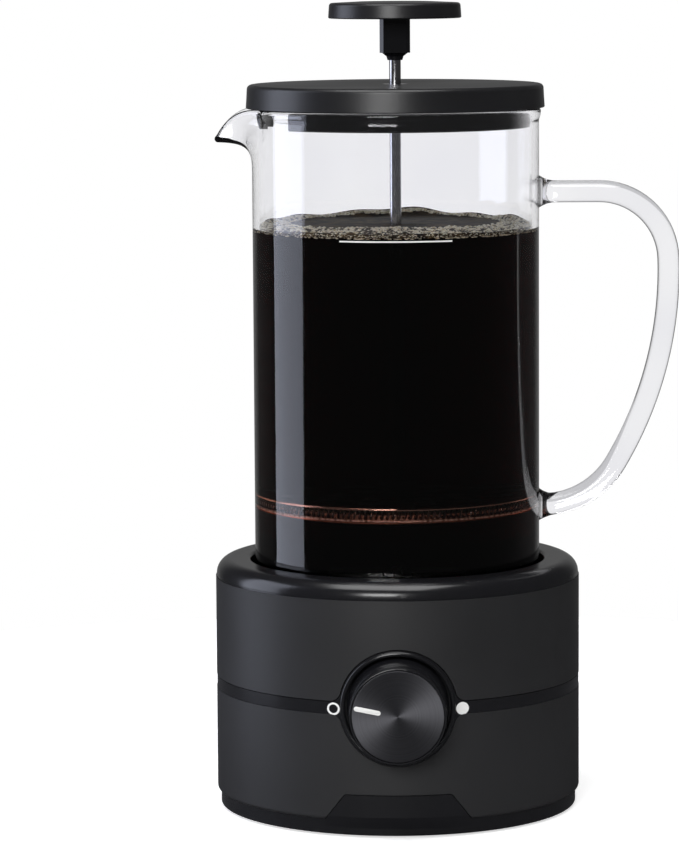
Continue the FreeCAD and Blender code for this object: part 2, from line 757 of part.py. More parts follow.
def trim_band():
    """Gloss band between the housings, in one moulding with the dial's collar and its seat."""
    outer = size.base_radius - size.band_inset
    band = turned("band_ring", [
        (housing_inner - size.housing_wall / 2, band_bottom),
        (outer, band_bottom),
        (outer, band_top),
        (housing_inner - size.housing_wall / 2, band_top),
    ])
    lip = turned("band_lip", [
        (lip_inner, band_bottom - size.spigot_depth),
        (lip_outer, band_bottom - size.spigot_depth),
        (lip_outer, upper_bottom + size.spigot_depth),
        (lip_inner, upper_bottom + size.spigot_depth),
    ])
    sheet = turned("collar_sheet", [
        (housing_inner - size.housing_wall / 2, size.dial_height - size.collar_radius * 1.2),
        (outer, size.dial_height - size.collar_radius * 1.2),
        (outer, size.dial_height + size.collar_radius * 1.2),
        (housing_inner - size.housing_wall / 2, size.dial_height + size.collar_radius * 1.2),
    ])
    plate = common("collar_plate", sheet, collar_prism("collar_form", 0.0, 0.0))
    front = size.base_radius - size.dial_well_depth
    back = front - size.dial_floor
    bead_radius = size.collar_radius - size.collar_ledge
    cup = turned("collar_cup", [
        (0, back),
        (bead_radius, back),
        (bead_radius, size.base_radius + 3),
        (0, size.base_radius + 3),
    ])
    face_front(cup, size.dial_height)
    reach = turned("collar_reach", [
        (0, size.dial_height - size.collar_radius * 1.2),
        (size.base_radius + size.collar_proud, size.dial_height - size.collar_radius * 1.2),
        (size.base_radius + size.collar_proud, size.dial_height + size.collar_radius * 1.2),
        (0, size.dial_height + size.collar_radius * 1.2),
    ])
    bead = common("collar_bead", cup, reach)
    solid = joined("trim_solid", [band, lip, plate, bead])
    seat = turned("dial_seat", [
        (0, front),
        (size.dial_well, front),
        (size.dial_well, size.base_radius + 6),
        (0, size.base_radius + 6),
    ])
    face_front(seat, size.dial_height)
    bore = turned("control_hole", [
        (0, back - 2),
        (size.bushing_radius + size.slip_gap, back - 2),
        (size.bushing_radius + size.slip_gap, front + 2),
        (0, front + 2),
    ])
    face_front(bore, size.dial_height)
    band_cut = cut("trim_rough", solid, [
        seat, bore, gland_bore_tool("gland_space_band", size.gland_neck + size.slip_gap),
    ])
    return rounded_collar(band_cut)


def rounded_collar(base):
    """Round both front edges of the collar's bead, which follow the housing's curve."""
    edges = []
    near = float(size.dial_well) - FIT_TOLERANCE
    far = float(size.collar_radius) + FIT_TOLERANCE
    axis = float(size.dial_height)
    proud = float(size.base_radius + size.collar_proud)
    for number, edge in enumerate(base.Shape.Edges, start=1):
        places = edge.discretize(7)
        on_bead = all(
            near < math.hypot(place.x, place.z - axis) < far
            and abs(math.hypot(place.x, place.y) - proud) < FIT_TOLERANCE
            and place.y < 0
            for place in places
        )
        if on_bead:
            edges.append(number)
    bead_round = doc.addObject("Part::Fillet", "trim_band")
    bead_round.Base = base
    bead_round.Edges = [(number, float(size.collar_proud) * 0.8,
                         float(size.collar_proud) * 0.8) for number in edges]
    doc.recompute()
    return bead_round


def top_cover():
    """Gloss top with its rounded shoulder, the carafe's well and the posts that hang from it."""
    outer = size.base_radius - size.cover_inset
    inner = lip_inner
    under = cover_top - size.well_wall
    body = turned("top_cover", [
        (0, well_under),
        (well_radius + size.well_wall, well_under),
        (well_radius + size.well_wall, under),
        (inner, under),
        (inner, upper_top - size.spigot_depth),
        (lip_outer, upper_top - size.spigot_depth),
        (lip_outer, upper_top),
        (outer, upper_top),
        (outer, cover_top, size.shoulder_round),
        (well_radius, cover_top, size.edge_round),
        (well_radius, well_floor),
        (0, well_floor),
    ])
    ring_of_posts(
        body, "screw_post", POSTS, QUARTER_TURN, post_circle,
        size.post_radius, boss_top, under - boss_top,
    )
    ring_of_holes(
        body, "post_pilot", POSTS, QUARTER_TURN, post_circle,
        size.screw_radius + size.screw_gap, boss_top, size.screw_bite + size.screw_head_height,
    )
    ring_of_posts(
        body, "bracket_stand", STANDS, STAND_TURN, size.stand_circle,
        size.stand_radius, bracket_top, size.bracket_drop,
    )
    ring_of_holes(
        body, "stand_pilot", STANDS, STAND_TURN, size.stand_circle,
        size.screw_radius + size.screw_gap, bracket_top, size.screw_bite,
    )
    return body


def cord_gland():
    """Grommet clamped where the housings meet. It has a hole for the cord, and no cord."""
    outside = size.base_radius + size.gland_proud
    inside = lip_inner - size.slip_gap * 3
    tail = inside - size.gland_tail
    gland = turned("cord_gland", [
        (size.gland_bore, tail),
        (size.gland_flange, tail),
        (size.gland_flange + size.gland_proud, inside),
        (size.gland_neck, inside),
        (size.gland_neck, size.base_radius),
        (size.gland_flange, size.base_radius),
        (size.gland_flange, outside, size.gland_proud / 2),
        (size.gland_bore, outside),
    ])
    return gland_placed(gland)


# Motor, bracket and magnetic drive

STAND_TURN = 30


def motor_bracket():
    body = turned("motor_bracket", [
        (size.motor_collar + size.slip_gap, bracket_bottom),
        (size.bracket_radius, bracket_bottom),
        (size.bracket_radius, bracket_top),
        (size.motor_collar + size.slip_gap, bracket_top),
    ])
    ring_of_holes(
        body, "bracket_hole", STANDS, STAND_TURN, size.stand_circle,
        size.screw_radius + size.screw_gap, bracket_bottom, size.bracket_sheet,
    )
    ring_of_holes(
        body, "motor_hole", 2, 0, size.motor_screw_circle,
        size.screw_radius + size.screw_gap, bracket_bottom, size.bracket_sheet,
    )
    return body


def motor():
    bottom = bracket_bottom - size.motor_length
    end_cap = size.motor_collar * 0.8
    bore = size.shaft_radius + size.shaft_running_gap
    body = turned("motor", [
        (0, bottom - 1.5),
        (end_cap, bottom - 1.5),
        (end_cap, bottom),
        (size.motor_radius, bottom, 1.2),
        (size.motor_radius, bracket_bottom, 0.6),
        (size.motor_collar, bracket_bottom),
        (size.motor_collar, bracket_top),
        (bore, bracket_top),
        (bore, bottom + 2),
        (0, bottom + 2),
    ])
    ring_of_holes(
        body, "motor_tapping", 2, 0, size.motor_screw_circle,
        size.screw_radius + size.screw_gap, bracket_bottom - 5, 5,
    )
    return body


def motor_shaft():
    bottom = bracket_bottom - size.motor_length + 2.3
    top = bracket_top + size.shaft_rise
    return turned("motor_shaft", [
        (0, bottom),
        (size.shaft_radius, bottom),
        (size.shaft_radius, top, 0.3),
        (0, top),
    ])


def drive_places():
    """Height of the magnet carrier's top and of its underside."""
    top = well_under - size.carrier_gap
    return top, top - size.carrier_height


def magnet_carrier():
    top, under = drive_places()
    body = turned("magnet_carrier", [
        (size.shaft_radius, under - 4),
        (size.motor_collar, under - 4),
        (size.motor_collar, under),
        (size.carrier_radius, under, 0.8),
        (size.carrier_radius, top, 0.8),
        (size.shaft_radius, top),
    ])
    ring_of_holes(
        body, "magnet_seat", 2, 0, size.magnet_circle,
        size.magnet_radius + size.slip_gap, top - size.magnet_height, size.magnet_height,
    )
    return body


def drive_magnets():
    top, _ = drive_places()
    magnets = [
        Part.makeCylinder(
            float(size.magnet_radius), float(size.magnet_height),
            Vector(x, y, float(top - size.magnet_height)),
        )
        for x, y in round_places(size.magnet_circle, 2, 0)
    ]
    return plain_shape("drive_magnets", Part.makeCompound(magnets))


def hanging_screws(label, places, level, length):
    """Screws whose heads lie on top of a plate and whose shanks point down."""
    screws = []
    for x, y in places:
        top = Vector(x, y, float(level))
        head = Part.makeCylinder(float(size.screw_head), float(size.screw_head_height), top)
        shank = Part.makeCylinder(float(size.screw_radius), float(length), top, Vector(0, 0, -1))
        slot = Part.makeBox(
            float(size.screw_head) * 1.2, 0.8, float(size.screw_head_height) / 2,
            top + Vector(-float(size.screw_head) * 0.6, -0.4, float(size.screw_head_height) / 2),
        )
        screws.append(head.fuse(shank).removeSplitter().cut(slot))
    return plain_shape(label, Part.makeCompound(screws))


def motor_screws():
    places = round_places(size.motor_screw_circle, 2, 0)
    return hanging_screws("motor_screws", places, bracket_top, size.bracket_sheet + 4)


def bracket_screws():
    places = round_places(size.stand_circle, STANDS, STAND_TURN)
    level = bracket_bottom - size.screw_head_height
    return screw_row(
        "bracket_screws", places, level, size.screw_radius, size.screw_head,
        size.screw_head_height, size.bracket_sheet + 8,
    )


# Control board and speed control

def board_corners():
    """Name and place of each of the board's four screws."""
    half_x = size.board_width / 2 - size.board_screw_inset
    half_y = size.board_depth / 2 - size.board_screw_inset
    back = size.board_back
    return [
        ("board_post_1", half_x, back + half_y),
        ("board_post_2", -half_x, back + half_y),
        ("board_post_3", -half_x, back - half_y),
        ("board_post_4", half_x, back - half_y),
    ]


def board_level():
    return plate_top + size.board_stand


def control_board():
    body = new_body("control_board")
    sketch = new_sketch(body, "board_outline", "XY_Plane", board_level())
    half = size.board_width / 2
    front = size.board_back - size.board_depth / 2
    rear = size.board_back + size.board_depth / 2
    draw_outline(sketch, [(-half, front), (half, front), (half, rear), (-half, rear)])
    pad(body, "board_sheet", sketch, size.board_sheet)
    for name, x, y in board_corners():
        hole = new_sketch(body, name + "_hole_outline", "XY_Plane", board_level())
        draw_circle(hole, x, y, size.screw_radius + size.slip_gap)
        pocket(body, name + "_hole", hole, size.board_sheet)
    return body


def board_parts():
    """Transformer, relay, two capacitors and a terminal block that stand on the board."""
    level = float(board_level() + size.board_sheet)
    back = float(size.board_back)
    left = -float(size.board_width / 2 - size.part_inset) - 1
    right = -left
    rear = back + float(size.board_depth / 2 - size.part_inset)
    front = back - float(size.board_depth / 2) + 6

    def block(width, depth, height, x, y):
        return Part.makeBox(float(width), float(depth), float(height), Vector(x, y, level))

    transformer = block(
        size.transformer_width, size.transformer_depth, size.transformer_height,
        left + 2, back - float(size.transformer_depth) / 2,
    )
    relay = block(
        size.relay_width, size.relay_depth, size.relay_height,
        right - 1 - float(size.relay_width), back - float(size.relay_depth) / 2,
    )
    terminal = block(
        size.terminal_width, size.terminal_depth, size.terminal_height,
        -float(size.terminal_width) / 2, front,
    )
    capacitors = [
        Part.makeCylinder(
            float(size.capacitor_radius), float(size.capacitor_height),
            Vector(-2 + float(size.capacitor_pitch) * number, rear, level),
        )
        for number in range(2)
    ]
    cases = [case.makeFillet(PART_ROUND, case.Edges[:4]) for case in (transformer, relay)]
    return plain_shape("board_parts", Part.makeCompound(cases + capacitors + [terminal]))


def board_screws():
    places = [(float(x), float(y)) for _, x, y in board_corners()]
    level = board_level() + size.board_sheet
    return hanging_screws(
        "board_screws", places, level, size.board_sheet + size.board_stand - 0.6
    )


def control_planes():
    """Distances from the base's axis to the dial seat's front face and its back face."""
    front = size.base_radius - size.dial_well_depth
    return front, front - size.dial_floor


def speed_control():
    """Square control behind the dial's seat, with its threaded bushing through the seat."""
    front, back = control_planes()
    bore = size.dial_shaft_radius + size.shaft_running_gap
    half = size.control_width / 2
    body = new_body("speed_control")
    sketch = new_sketch(body, "control_outline", "XY_Plane", back - size.control_depth)
    draw_outline(sketch, [(-half, -half), (half, -half), (half, half), (-half, half)])
    pad(body, "control_case", sketch, size.control_depth)
    add_turning(body, "control_bushing", [
        (0, back - 1),
        (size.bushing_radius, back - 1),
        (size.bushing_radius, front + size.nut_height + 0.6),
        (0, front + size.nut_height + 0.6),
    ])
    hole = new_sketch(body, "control_bore_outline", "XY_Plane", back - size.control_depth + 2)
    draw_circle(hole, 0, 0, bore)
    pocket(body, "control_bore", hole, size.control_depth * 3)
    return face_front(body, size.dial_height)


def control_nut():
    front, _ = control_planes()
    body = new_body("control_nut")
    sketch = new_sketch(body, "nut_outline", "XY_Plane", front)
    reach = size.nut_flats / (as_size(2) * cosine(30))
    draw_outline(sketch, [
        (reach * cosine(60 * number), reach * sine(60 * number)) for number in range(6)
    ])
    pad(body, "nut_block", sketch, size.nut_height)
    hole = new_sketch(body, "nut_bore_outline", "XY_Plane", front)
    draw_circle(hole, 0, 0, size.bushing_radius + size.screw_gap)
    pocket(body, "nut_bore", hole, size.nut_height)
    return face_front(body, size.dial_height)


# Dial

def knob_levels():
    """Distances from the base's axis to the dial's back, its hub's end and its face."""
    front, _ = control_planes()
    back = front + size.dial_gap
    hub = front + size.nut_height + 1.2
    face = size.base_radius + size.knob_reach
    return back, hub, face


def dial_knob():
    back, hub, face = knob_levels()
    seat = face - size.face_sheet
    inner = seat - size.knob_wall
    shaft_end = inner - 1
    body = turned("dial_knob", [
        (0, seat),
        (size.face_radius + size.slip_gap, seat),
        (size.face_radius + size.slip_gap, face),
        (size.knob_front, face, 0.25),
        (size.knob_back, back, 0.5),
        (size.knob_back - size.knob_wall, back),
        (size.knob_front - size.knob_wall, inner),
        (size.hub_radius, inner),
        (size.hub_radius, hub),
        (size.dial_shaft_radius, hub),
        (size.dial_shaft_radius, shaft_end),
        (0, shaft_end),
    ])
    return face_front(body, size.dial_height)


def dial_face():
    _, _, face = knob_levels()
    body = turned("dial_face", [
        (0, face - size.face_sheet),
        (size.face_radius, face - size.face_sheet),
        (size.face_radius, face, 0.3),
        (0, face),
    ])
    return face_front(body, size.dial_height)


def dial_shaft():
    """Control shaft, with the flat that keys it in the dial's hub."""
    _, hub, face = knob_levels()
    _, back = control_planes()
    top = face - size.face_sheet - size.knob_wall - 1.3
    bottom = back - size.control_depth + 2.3
    body = turned("dial_shaft", [
        (0, bottom),
        (size.dial_shaft_radius, bottom),
        (size.dial_shaft_radius, top, 0.3),
        (0, top),
    ])
    sketch = new_sketch(body, "shaft_flat_outline", "XY_Plane", hub)
    wide = size.dial_shaft_radius * 2
    level = size.dial_shaft_radius * 0.6
    draw_outline(sketch, [(-wide, level), (wide, level), (wide, wide), (-wide, wide)])
    pocket(body, "shaft_flat", sketch, top - hub + 1)
    return face_front(body, size.dial_height)


# Carafe

def well_cushion():
    return turned("well_cushion", [
        (cushion_inner, well_floor),
        (cushion_outer, well_floor),
        (cushion_outer, well_floor + size.cushion_height, 0.4),
        (cushion_inner, well_floor + size.cushion_height, 0.4),
    ])


def spout_section(x, half, low, high):
    """Half-round section across the spout, flat on top, in a plane square to X."""
    keel = Vector(x, 0, low)
    left = Vector(x, -half, high)
    right = Vector(x, half, high)
    rise = 0.45
    left_side = Vector(x, -half * 0.94, high - (high - low) * rise)
    right_side = Vector(x, half * 0.94, high - (high - low) * rise)
    curve = Part.BSplineCurve()
    curve.interpolate([left, left_side, keel, right_side, right])
    top = Part.LineSegment(right, left)
    return Part.Wire([curve.toShape(), top.toShape()])


def spout_body(wall, lift, inward, outward):
    """The spout's solid, drawn in by a wall and raised at the top for its open channel."""
    root_x = -float(size.glass_radius) + inward
    tip_x = -float(size.glass_radius + size.spout_reach) - outward
    top = float(rim_top)
    lip = top - float(size.spout_drop)
    root = top - float(size.spout_root)
    under = lip - 1.4
    half_root = float(size.spout_half) - wall
    half_lip = max(float(size.lip_half) - wall, 0.6)

    def between(start, end, share):
        return start + (end - start) * share

    stations = [
        (0.0, 1.0, root, top),
        (0.34, 0.66, between(root, under, 0.62), top - 0.4),
        (0.6, 0.42, between(root, under, 0.98), top - 2.4),
        (0.82, 0.22, under - 0.2, top - 6.0),
        (1.0, 0.0, under, lip),
    ]
    sections = []
    for share, width, low, high in stations:
        x = between(root_x, tip_x, share)
        half = between(half_lip, half_root, width)
        sections.append(spout_section(x, half, low + wall, high + lift))
    return Part.makeLoft(sections, True, False)


def carafe_glass():
    """Blown glass carafe with a beaded rim, and a spout drawn out of it."""
    bead = size.glass_radius + size.rim_bead
    pot = turned("glass_pot", [
        (0, carafe_foot + size.foot_hollow),
        (cushion_inner - 4, carafe_foot + size.foot_hollow),
        (cushion_inner - 2, carafe_foot),
        (size.glass_radius, carafe_foot, size.glass_heel),
        (size.glass_radius, rim_top - size.rim_height),
        (bead, rim_top - size.rim_height + size.rim_bead),
        (bead, rim_top, 1.0),
        (carafe_inner, rim_top, 1.0),
        (carafe_inner, carafe_floor, size.glass_heel),
        (0, carafe_floor),
    ])
    spout = plain_shape("spout_form", spout_body(0.0, 0.0, 1.4, 0.0))
    channel = plain_shape(
        "spout_channel", spout_body(float(size.spout_wall), 8.0, 9.0, 2.0)
    )
    with_spout = joined("glass_with_spout", [pot, spout])
    return cut("carafe_glass", with_spout, [channel])


def handle_path():
    """Centreline of the handle: a straight bar and three bends that turn the same way.

    The last bend ends at the wall. Returns the wire and its two ends with their directions.
    """
    wall_x = float(size.glass_radius) - 1.2
    level = float(rim_top - size.handle_drop)
    start = Vector(wall_x, 0, level)
    place = Vector(float(size.glass_radius + size.handle_reach), 0, level)
    edges = [Part.LineSegment(start, place).toShape()]
    heading = 0.0
    bends = [
        (float(size.handle_corner), float(size.handle_corner_turn)),
        (float(grip_radius), float(size.handle_grip_turn)),
        (float(size.handle_tail), None),
    ]
    for radius, turn in bends:
        inwards = Vector(math.sin(heading), 0, -math.cos(heading))
        centre = place + inwards * radius
        if turn is None:
            sweep = math.pi - math.asin((wall_x - centre.x) / radius) + heading
        else:
            sweep = math.radians(turn)

        def on_bend(angle):
            return centre + Vector(-math.sin(angle), 0, math.cos(angle)) * radius

        middle = on_bend(heading - sweep / 2)
        end = on_bend(heading - sweep)
        edges.append(Part.Arc(place, middle, end).toShape())
        heading -= sweep
        place = end
    end_direction = Vector(math.cos(heading), 0, math.sin(heading))
    return Part.Wire(edges), start, place, end_direction


def weld_pad(place, direction):
    """Flared foot of the handle, widest at the wall, with its axis along the rod."""
    wide = float(size.weld_radius)
    slim = float(size.handle_radius)
    length = float(size.weld_length)
    depth = length * 0.35
    outline = [
        Vector(0, 0, -2),
        Vector(wide, 0, -2),
        Vector(wide, 0, depth * 0.6),
    ]
    flare = Part.BSplineCurve()
    flare.interpolate([
        outline[2],
        Vector(slim + (wide - slim) * 0.3, 0, depth + length * 0.3),
        Vector(slim, 0, length * 1.4),
    ])
    end = Vector(slim, 0, length * 1.4)
    axis_end = Vector(0, 0, length * 1.4)
    edges = [
        Part.LineSegment(outline[0], outline[1]).toShape(),
        Part.LineSegment(outline[1], outline[2]).toShape(),
        flare.toShape(),
        Part.LineSegment(end, axis_end).toShape(),
        Part.LineSegment(axis_end, outline[0]).toShape(),
    ]
    pad_solid = Part.Face(Part.Wire(edges)).revolve(Vector(0, 0, 0), Z_AXIS, 360)
    pad_solid.Placement = FreeCAD.Placement(place, FreeCAD.Rotation(Z_AXIS, direction))
    return pad_solid


def carafe_handle():
    """Glass rod bent to a tall D and welded to the wall at both ends."""
    path, start, end, end_direction = handle_path()
    ring = Part.Wire([Part.Circle(start, X_AXIS, float(size.handle_radius)).toShape()])
    rod = path.makePipeShell([ring], True, False)
    upper = weld_pad(start, X_AXIS)
    lower = weld_pad(end, end_direction * -1)
    raw = plain_shape("handle_rough", rod.fuse([upper, lower]))
    inside = cylinder(
        "handle_stop", size.glass_radius, size.glass_height, carafe_foot
    )
    return cut("carafe_handle", raw, [inside])


# Lid

def lid_cap():
    hole = size.rod_radius + size.shaft_running_gap + size.bushing_wall + size.slip_gap
    under = lid_top - size.lid_wall
    return turned("lid_cap", [
        (hole, under),
        (lid_radius - size.lid_draft - size.lid_wall, under),
        (lid_radius - size.lid_wall, lid_bottom),
        (lid_radius, lid_bottom, 0.35),
        (lid_radius - size.lid_draft, lid_top, size.lid_round),
        (hole, lid_top),
    ])


def lid_insert():
    """Gloss insert under the lid: plate, skirt with pouring windows, and the bushing's hub."""
    hole = size.rod_radius + size.shaft_running_gap + size.bushing_wall
    skirt_outer = carafe_inner - size.skirt_gap
    skirt_inner = skirt_outer - size.skirt_wall
    under = lid_top - size.lid_wall
    plate_edge = lid_radius - size.lid_wall - size.slip_gap * 2
    plate_upper = lid_bottom + size.skirt_plate
    skirt_end = lid_bottom - size.skirt_depth
    shell = turned("insert_shell", [
        (hole, lid_bottom - size.spigot_depth),
        (hole + size.skirt_wall, lid_bottom - size.spigot_depth),
        (hole + size.skirt_wall, lid_bottom),
        (skirt_inner, lid_bottom),
        (skirt_inner, skirt_end),
        (skirt_outer, skirt_end, 0.7),
        (skirt_outer, lid_bottom),
        (plate_edge, lid_bottom),
        (plate_edge, plate_upper),
        (skirt_outer, plate_upper),
        (skirt_outer, under),
        (skirt_inner, under),
        (skirt_inner, plate_upper),
        (hole + size.skirt_wall, plate_upper),
        (hole + size.skirt_wall, under),
        (hole, under),
    ])
    level = skirt_end - 1
    windows = []
    for number in (-1, 0, 1):
        turn = as_size(180) + size.window_pitch * number - size.window_angle / 2
        windows.append(cylinder(
            f"pour_window_{number + 2}", skirt_outer + 1, size.window_height + 1, level,
            size.window_angle, turn,
        ))
    core = cylinder("window_core", skirt_inner - 1, size.window_height + 3, level - 1)
    window_ring = cut("pour_windows", joined("window_wedges", windows), [core])
    return cut("lid_insert", shell, [window_ring])


def rod_bushing():
    bore = size.rod_radius + size.shaft_running_gap
    outer = bore + size.bushing_wall
    return turned("rod_bushing", [
        (bore, lid_top - size.bushing_length),
        (outer, lid_top - size.bushing_length, 0.4),
        (outer, lid_top),
        (bore, lid_top),
    ])


# Plunger

def knob_stem():
    """Square stem with chamfered corners, a neck below and a tenon that enters the knob."""
    body = turned("knob_stem", [
        (size.rod_radius, stem_bottom),
        (size.neck_radius, stem_bottom),
        (size.neck_radius + 0.4, stem_bottom + size.neck_height / 2),
        (size.stem_half - size.stem_chamfer / 2, shank_bottom),
        (size.stem_half - size.stem_chamfer / 2, shank_bottom + 1),
        (size.tenon_radius, shank_bottom + 1),
        (size.tenon_radius, knob_bottom + size.tenon_length),
        (0, knob_bottom + size.tenon_length),
        (0, rod_top),
        (size.rod_radius, rod_top),
    ])
    sketch = new_sketch(body, "shank_outline", "XY_Plane", shank_bottom)
    half = size.stem_half
    near = size.stem_half - size.stem_chamfer
    draw_outline(sketch, [
        (half, -near), (half, near), (near, half), (-near, half),
        (-half, near), (-half, -near), (-near, -half), (near, -half),
    ])
    draw_circle(sketch, 0, 0, size.tenon_radius - 0.5)
    pad(body, "shank", sketch, size.stem_height)
    return body


def plunger_knob():
    crown = knob_bottom + size.knob_height
    shoulder = crown - size.knob_crown
    return turned("plunger_knob", [
        (size.tenon_radius, knob_bottom),
        (size.knob_radius, knob_bottom, 0.5),
        (size.knob_radius - 0.4, shoulder, 1.1),
        (size.knob_radius * 0.55, crown - size.knob_crown * 0.3),
        (0, crown),
        (0, knob_bottom + size.tenon_length),
        (size.tenon_radius, knob_bottom + size.tenon_length),
    ])


def filter_levels():
    """Heights of the filter stack: spiral plate's top and underside, spring, mesh, cross plate."""
    top = size.filter_level
    plate_under = top - size.plate_sheet
    spring = plate_under - size.spring_coil
    mesh_top = spring - size.spring_coil
    cross_top = mesh_top - size.mesh_sheet
    cross_under = cross_top - size.plate_sheet
    return top, plate_under, spring, mesh_top, cross_top, cross_under


def plunger_rod():
    cross_under = filter_levels()[5]
    bottom = cross_under - size.hub_height + 1
    return turned("plunger_rod", [
        (0, bottom),
        (size.rod_radius, bottom, 0.4),
        (size.rod_radius, rod_top),
        (0, rod_top),
    ])


def rod_collar():
    top = filter_levels()[0]
    return turned("rod_collar", [
        (size.rod_radius, top),
        (size.hub_radius, top, 0.5),
        (size.hub_radius, top + size.collar_height, 1.0),
        (size.rod_radius, top + size.collar_height),
    ])


def spiral_plate():
    """Perforated plate on top of the filter, with a short turned-down edge."""
    top, under = filter_levels()[:2]
    edge = carafe_inner - size.filter_gap - size.spring_coil
    body = turned("spiral_plate", [
        (size.rod_radius, under),
        (edge, under),
        (edge, top, 0.6),
        (size.rod_radius, top),
    ])
    ring_of_holes(body, "inner_hole", 6, 0, 16, 4, under, size.plate_sheet)
    ring_of_holes(body, "outer_hole", 12, 15, 32, 5, under, size.plate_sheet)
    return body


def filter_spring():
    """The coil that seals the filter's edge, drawn as a plain ring of its outer size."""
    spring = filter_levels()[2]
    ring = doc.addObject("Part::Torus", "filter_spring")
    bind(ring, "Radius1", carafe_inner - size.filter_gap - size.spring_coil)
    bind(ring, "Radius2", size.spring_coil)
    bind(ring, "Placement.Base.z", spring)
    doc.recompute()
    return ring


def filter_mesh():
    mesh_top, mesh_under = filter_levels()[3:5]
    edge = carafe_inner - size.filter_gap - size.spring_coil
    spring = filter_levels()[2]
    inner = edge - size.spring_coil - size.slip_gap
    return turned("filter_mesh", [
        (size.rod_radius, mesh_under),
        (edge, mesh_under),
        (edge, mesh_top),
        (inner, mesh_top),
        (inner, spring),
        (inner - size.mesh_sheet, spring),
        (inner - size.mesh_sheet, mesh_top),
        (size.rod_radius, mesh_top),
    ])


def cross_plate():
    """Pressed plate with four open sectors that carries the mesh from below."""
    cross_top, cross_under = filter_levels()[4:6]
    edge = carafe_inner - size.filter_gap - size.spring_coil * 2
    plate = turned("cross_disc", [
        (size.rod_radius, cross_under),
        (edge, cross_under, 0.4),
        (edge, cross_top),
        (size.rod_radius, cross_top),
    ])
    sectors = [
        cylinder(
            f"cross_sector_{number}", edge - 6, size.plate_sheet + 2,
            cross_under - 1, 70, 10 + 90 * number,
        )
        for number in range(4)
    ]
    core = cylinder("cross_core", size.hub_radius * 2, size.plate_sheet + 4, cross_under - 2)
    openings = cut("cross_openings", joined("cross_sectors", sectors), [core])
    return cut("cross_plate", plate, [openings])


def filter_hub():
    """Threaded hub on the rod's end, under the filter. Its end is closed."""
    cross_under = filter_levels()[5]
    bottom = cross_under - size.hub_height
    return turned("filter_hub", [
        (0, bottom),
        (size.hub_radius, bottom, 0.8),
        (size.hub_radius, cross_under),
        (size.rod_radius, cross_under),
        (size.rod_radius, bottom + 1),
        (0, bottom + 1),
    ])


# Magnetic stirrer

def stirrer_levels():
    """Heights of the stirrer's nub, disc underside and disc top."""
    nub = carafe_floor + size.seat_gap
    under = nub + size.stirrer_nub
    return nub, under, under + size.stirrer_height


def stirrer_rotor():
    """Disc with four fins that turns on a small nub on the carafe's floor."""
    nub, under, top = stirrer_levels()
    body = turned("stirrer_rotor", [
        (0, nub),
        (size.stirrer_nub, nub, 0.5),
        (size.stirrer_nub * 3, under),
        (size.stirrer_radius, under, 0.8),
        (size.stirrer_radius, top, 1.2),
        (0, top),
    ])
    sketch = new_sketch(body, "fin_outline", "XY_Plane", top - 0.5)
    half = size.fin_sheet / 2
    inner = size.stirrer_radius * 0.2
    outer = size.stirrer_radius - 1.6
    draw_outline(sketch, [(inner, -half), (outer, -half), (outer, half), (inner, half)])
    repeat_round(body, pad(body, "fin", sketch, size.fin_height + 0.5), 4)
    ring_of_holes(
        body, "stir_magnet_seat", 2, 0, size.stirrer_radius * 0.55,
        size.stir_magnet_radius + size.slip_gap, under, size.stir_magnet_height,
    )
    return body


def stirrer_magnets():
    _, under, _ = stirrer_levels()
    magnets = [
        Part.makeCylinder(
            float(size.stir_magnet_radius), float(size.stir_magnet_height) - 0.2,
            Vector(x, y, float(under) + 0.2),
        )
        for x, y in round_places(size.stirrer_radius * 0.55, 2, 0)
    ]
    return plain_shape("stirrer_magnets", Part.makeCompound(magnets))


def build():
    """Make every piece, in the order in which the object is put together."""
    for maker in (
        foot_ring, bottom_cover, cover_screws, lower_housing, trim_band, upper_housing,
        top_cover, well_cushion, cord_gland, motor_bracket, motor, motor_screws,
        bracket_screws, control_board, board_parts, board_screws, speed_control, control_nut,
        motor_shaft, magnet_carrier, drive_magnets, dial_shaft, dial_knob, dial_face,
        carafe_glass, carafe_handle, stirrer_rotor, stirrer_magnets, lid_cap, lid_insert,
        rod_bushing, plunger_rod, knob_stem, plunger_knob, rod_collar, spiral_plate,
        filter_spring, filter_mesh, cross_plate, filter_hub,
    ):
        keep(maker(), maker.__name__)


def check():
    """Stop if anything in the document failed or a piece has no sound shape."""
    doc.recompute()
    for item in doc.Objects:
        if "Invalid" in item.State or "Error" in item.State:
            raise ValueError(f"{item.Label} failed to build: {item.State}")
    for piece in pieces:
        if piece.Shape.isNull() or not piece.Shape.isValid():
            raise ValueError(f"{piece.Label} has no valid shape")
        if piece.Shape.Volume <= 0:
            raise ValueError(f"{piece.Label} is inside out")


def export():
    os.makedirs("parts", exist_ok=True)
    for piece in pieces:
        piece.Shape.exportStep(f"parts/{piece.Label}.step")


build()
check()
export()
for piece in pieces:
    box = piece.Shape.BoundBox
    print(
        f"{piece.Label:18} solids {len(piece.Shape.Solids)}  volume {piece.Shape.Volume:10.1f}"
        f"  x {box.XMin:7.2f} {box.XMax:7.2f}  y {box.YMin:7.2f} {box.YMax:7.2f}"
        f"  z {box.ZMin:7.2f} {box.ZMax:7.2f}"
    )
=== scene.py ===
"""Cold brew coffee maker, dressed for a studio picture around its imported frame.

The lengths in the property groups are in millimetres, as the maker states them, and every
mesh is turned to metres when it is made. The dial faces -Y and the carafe's spout -X.
"""

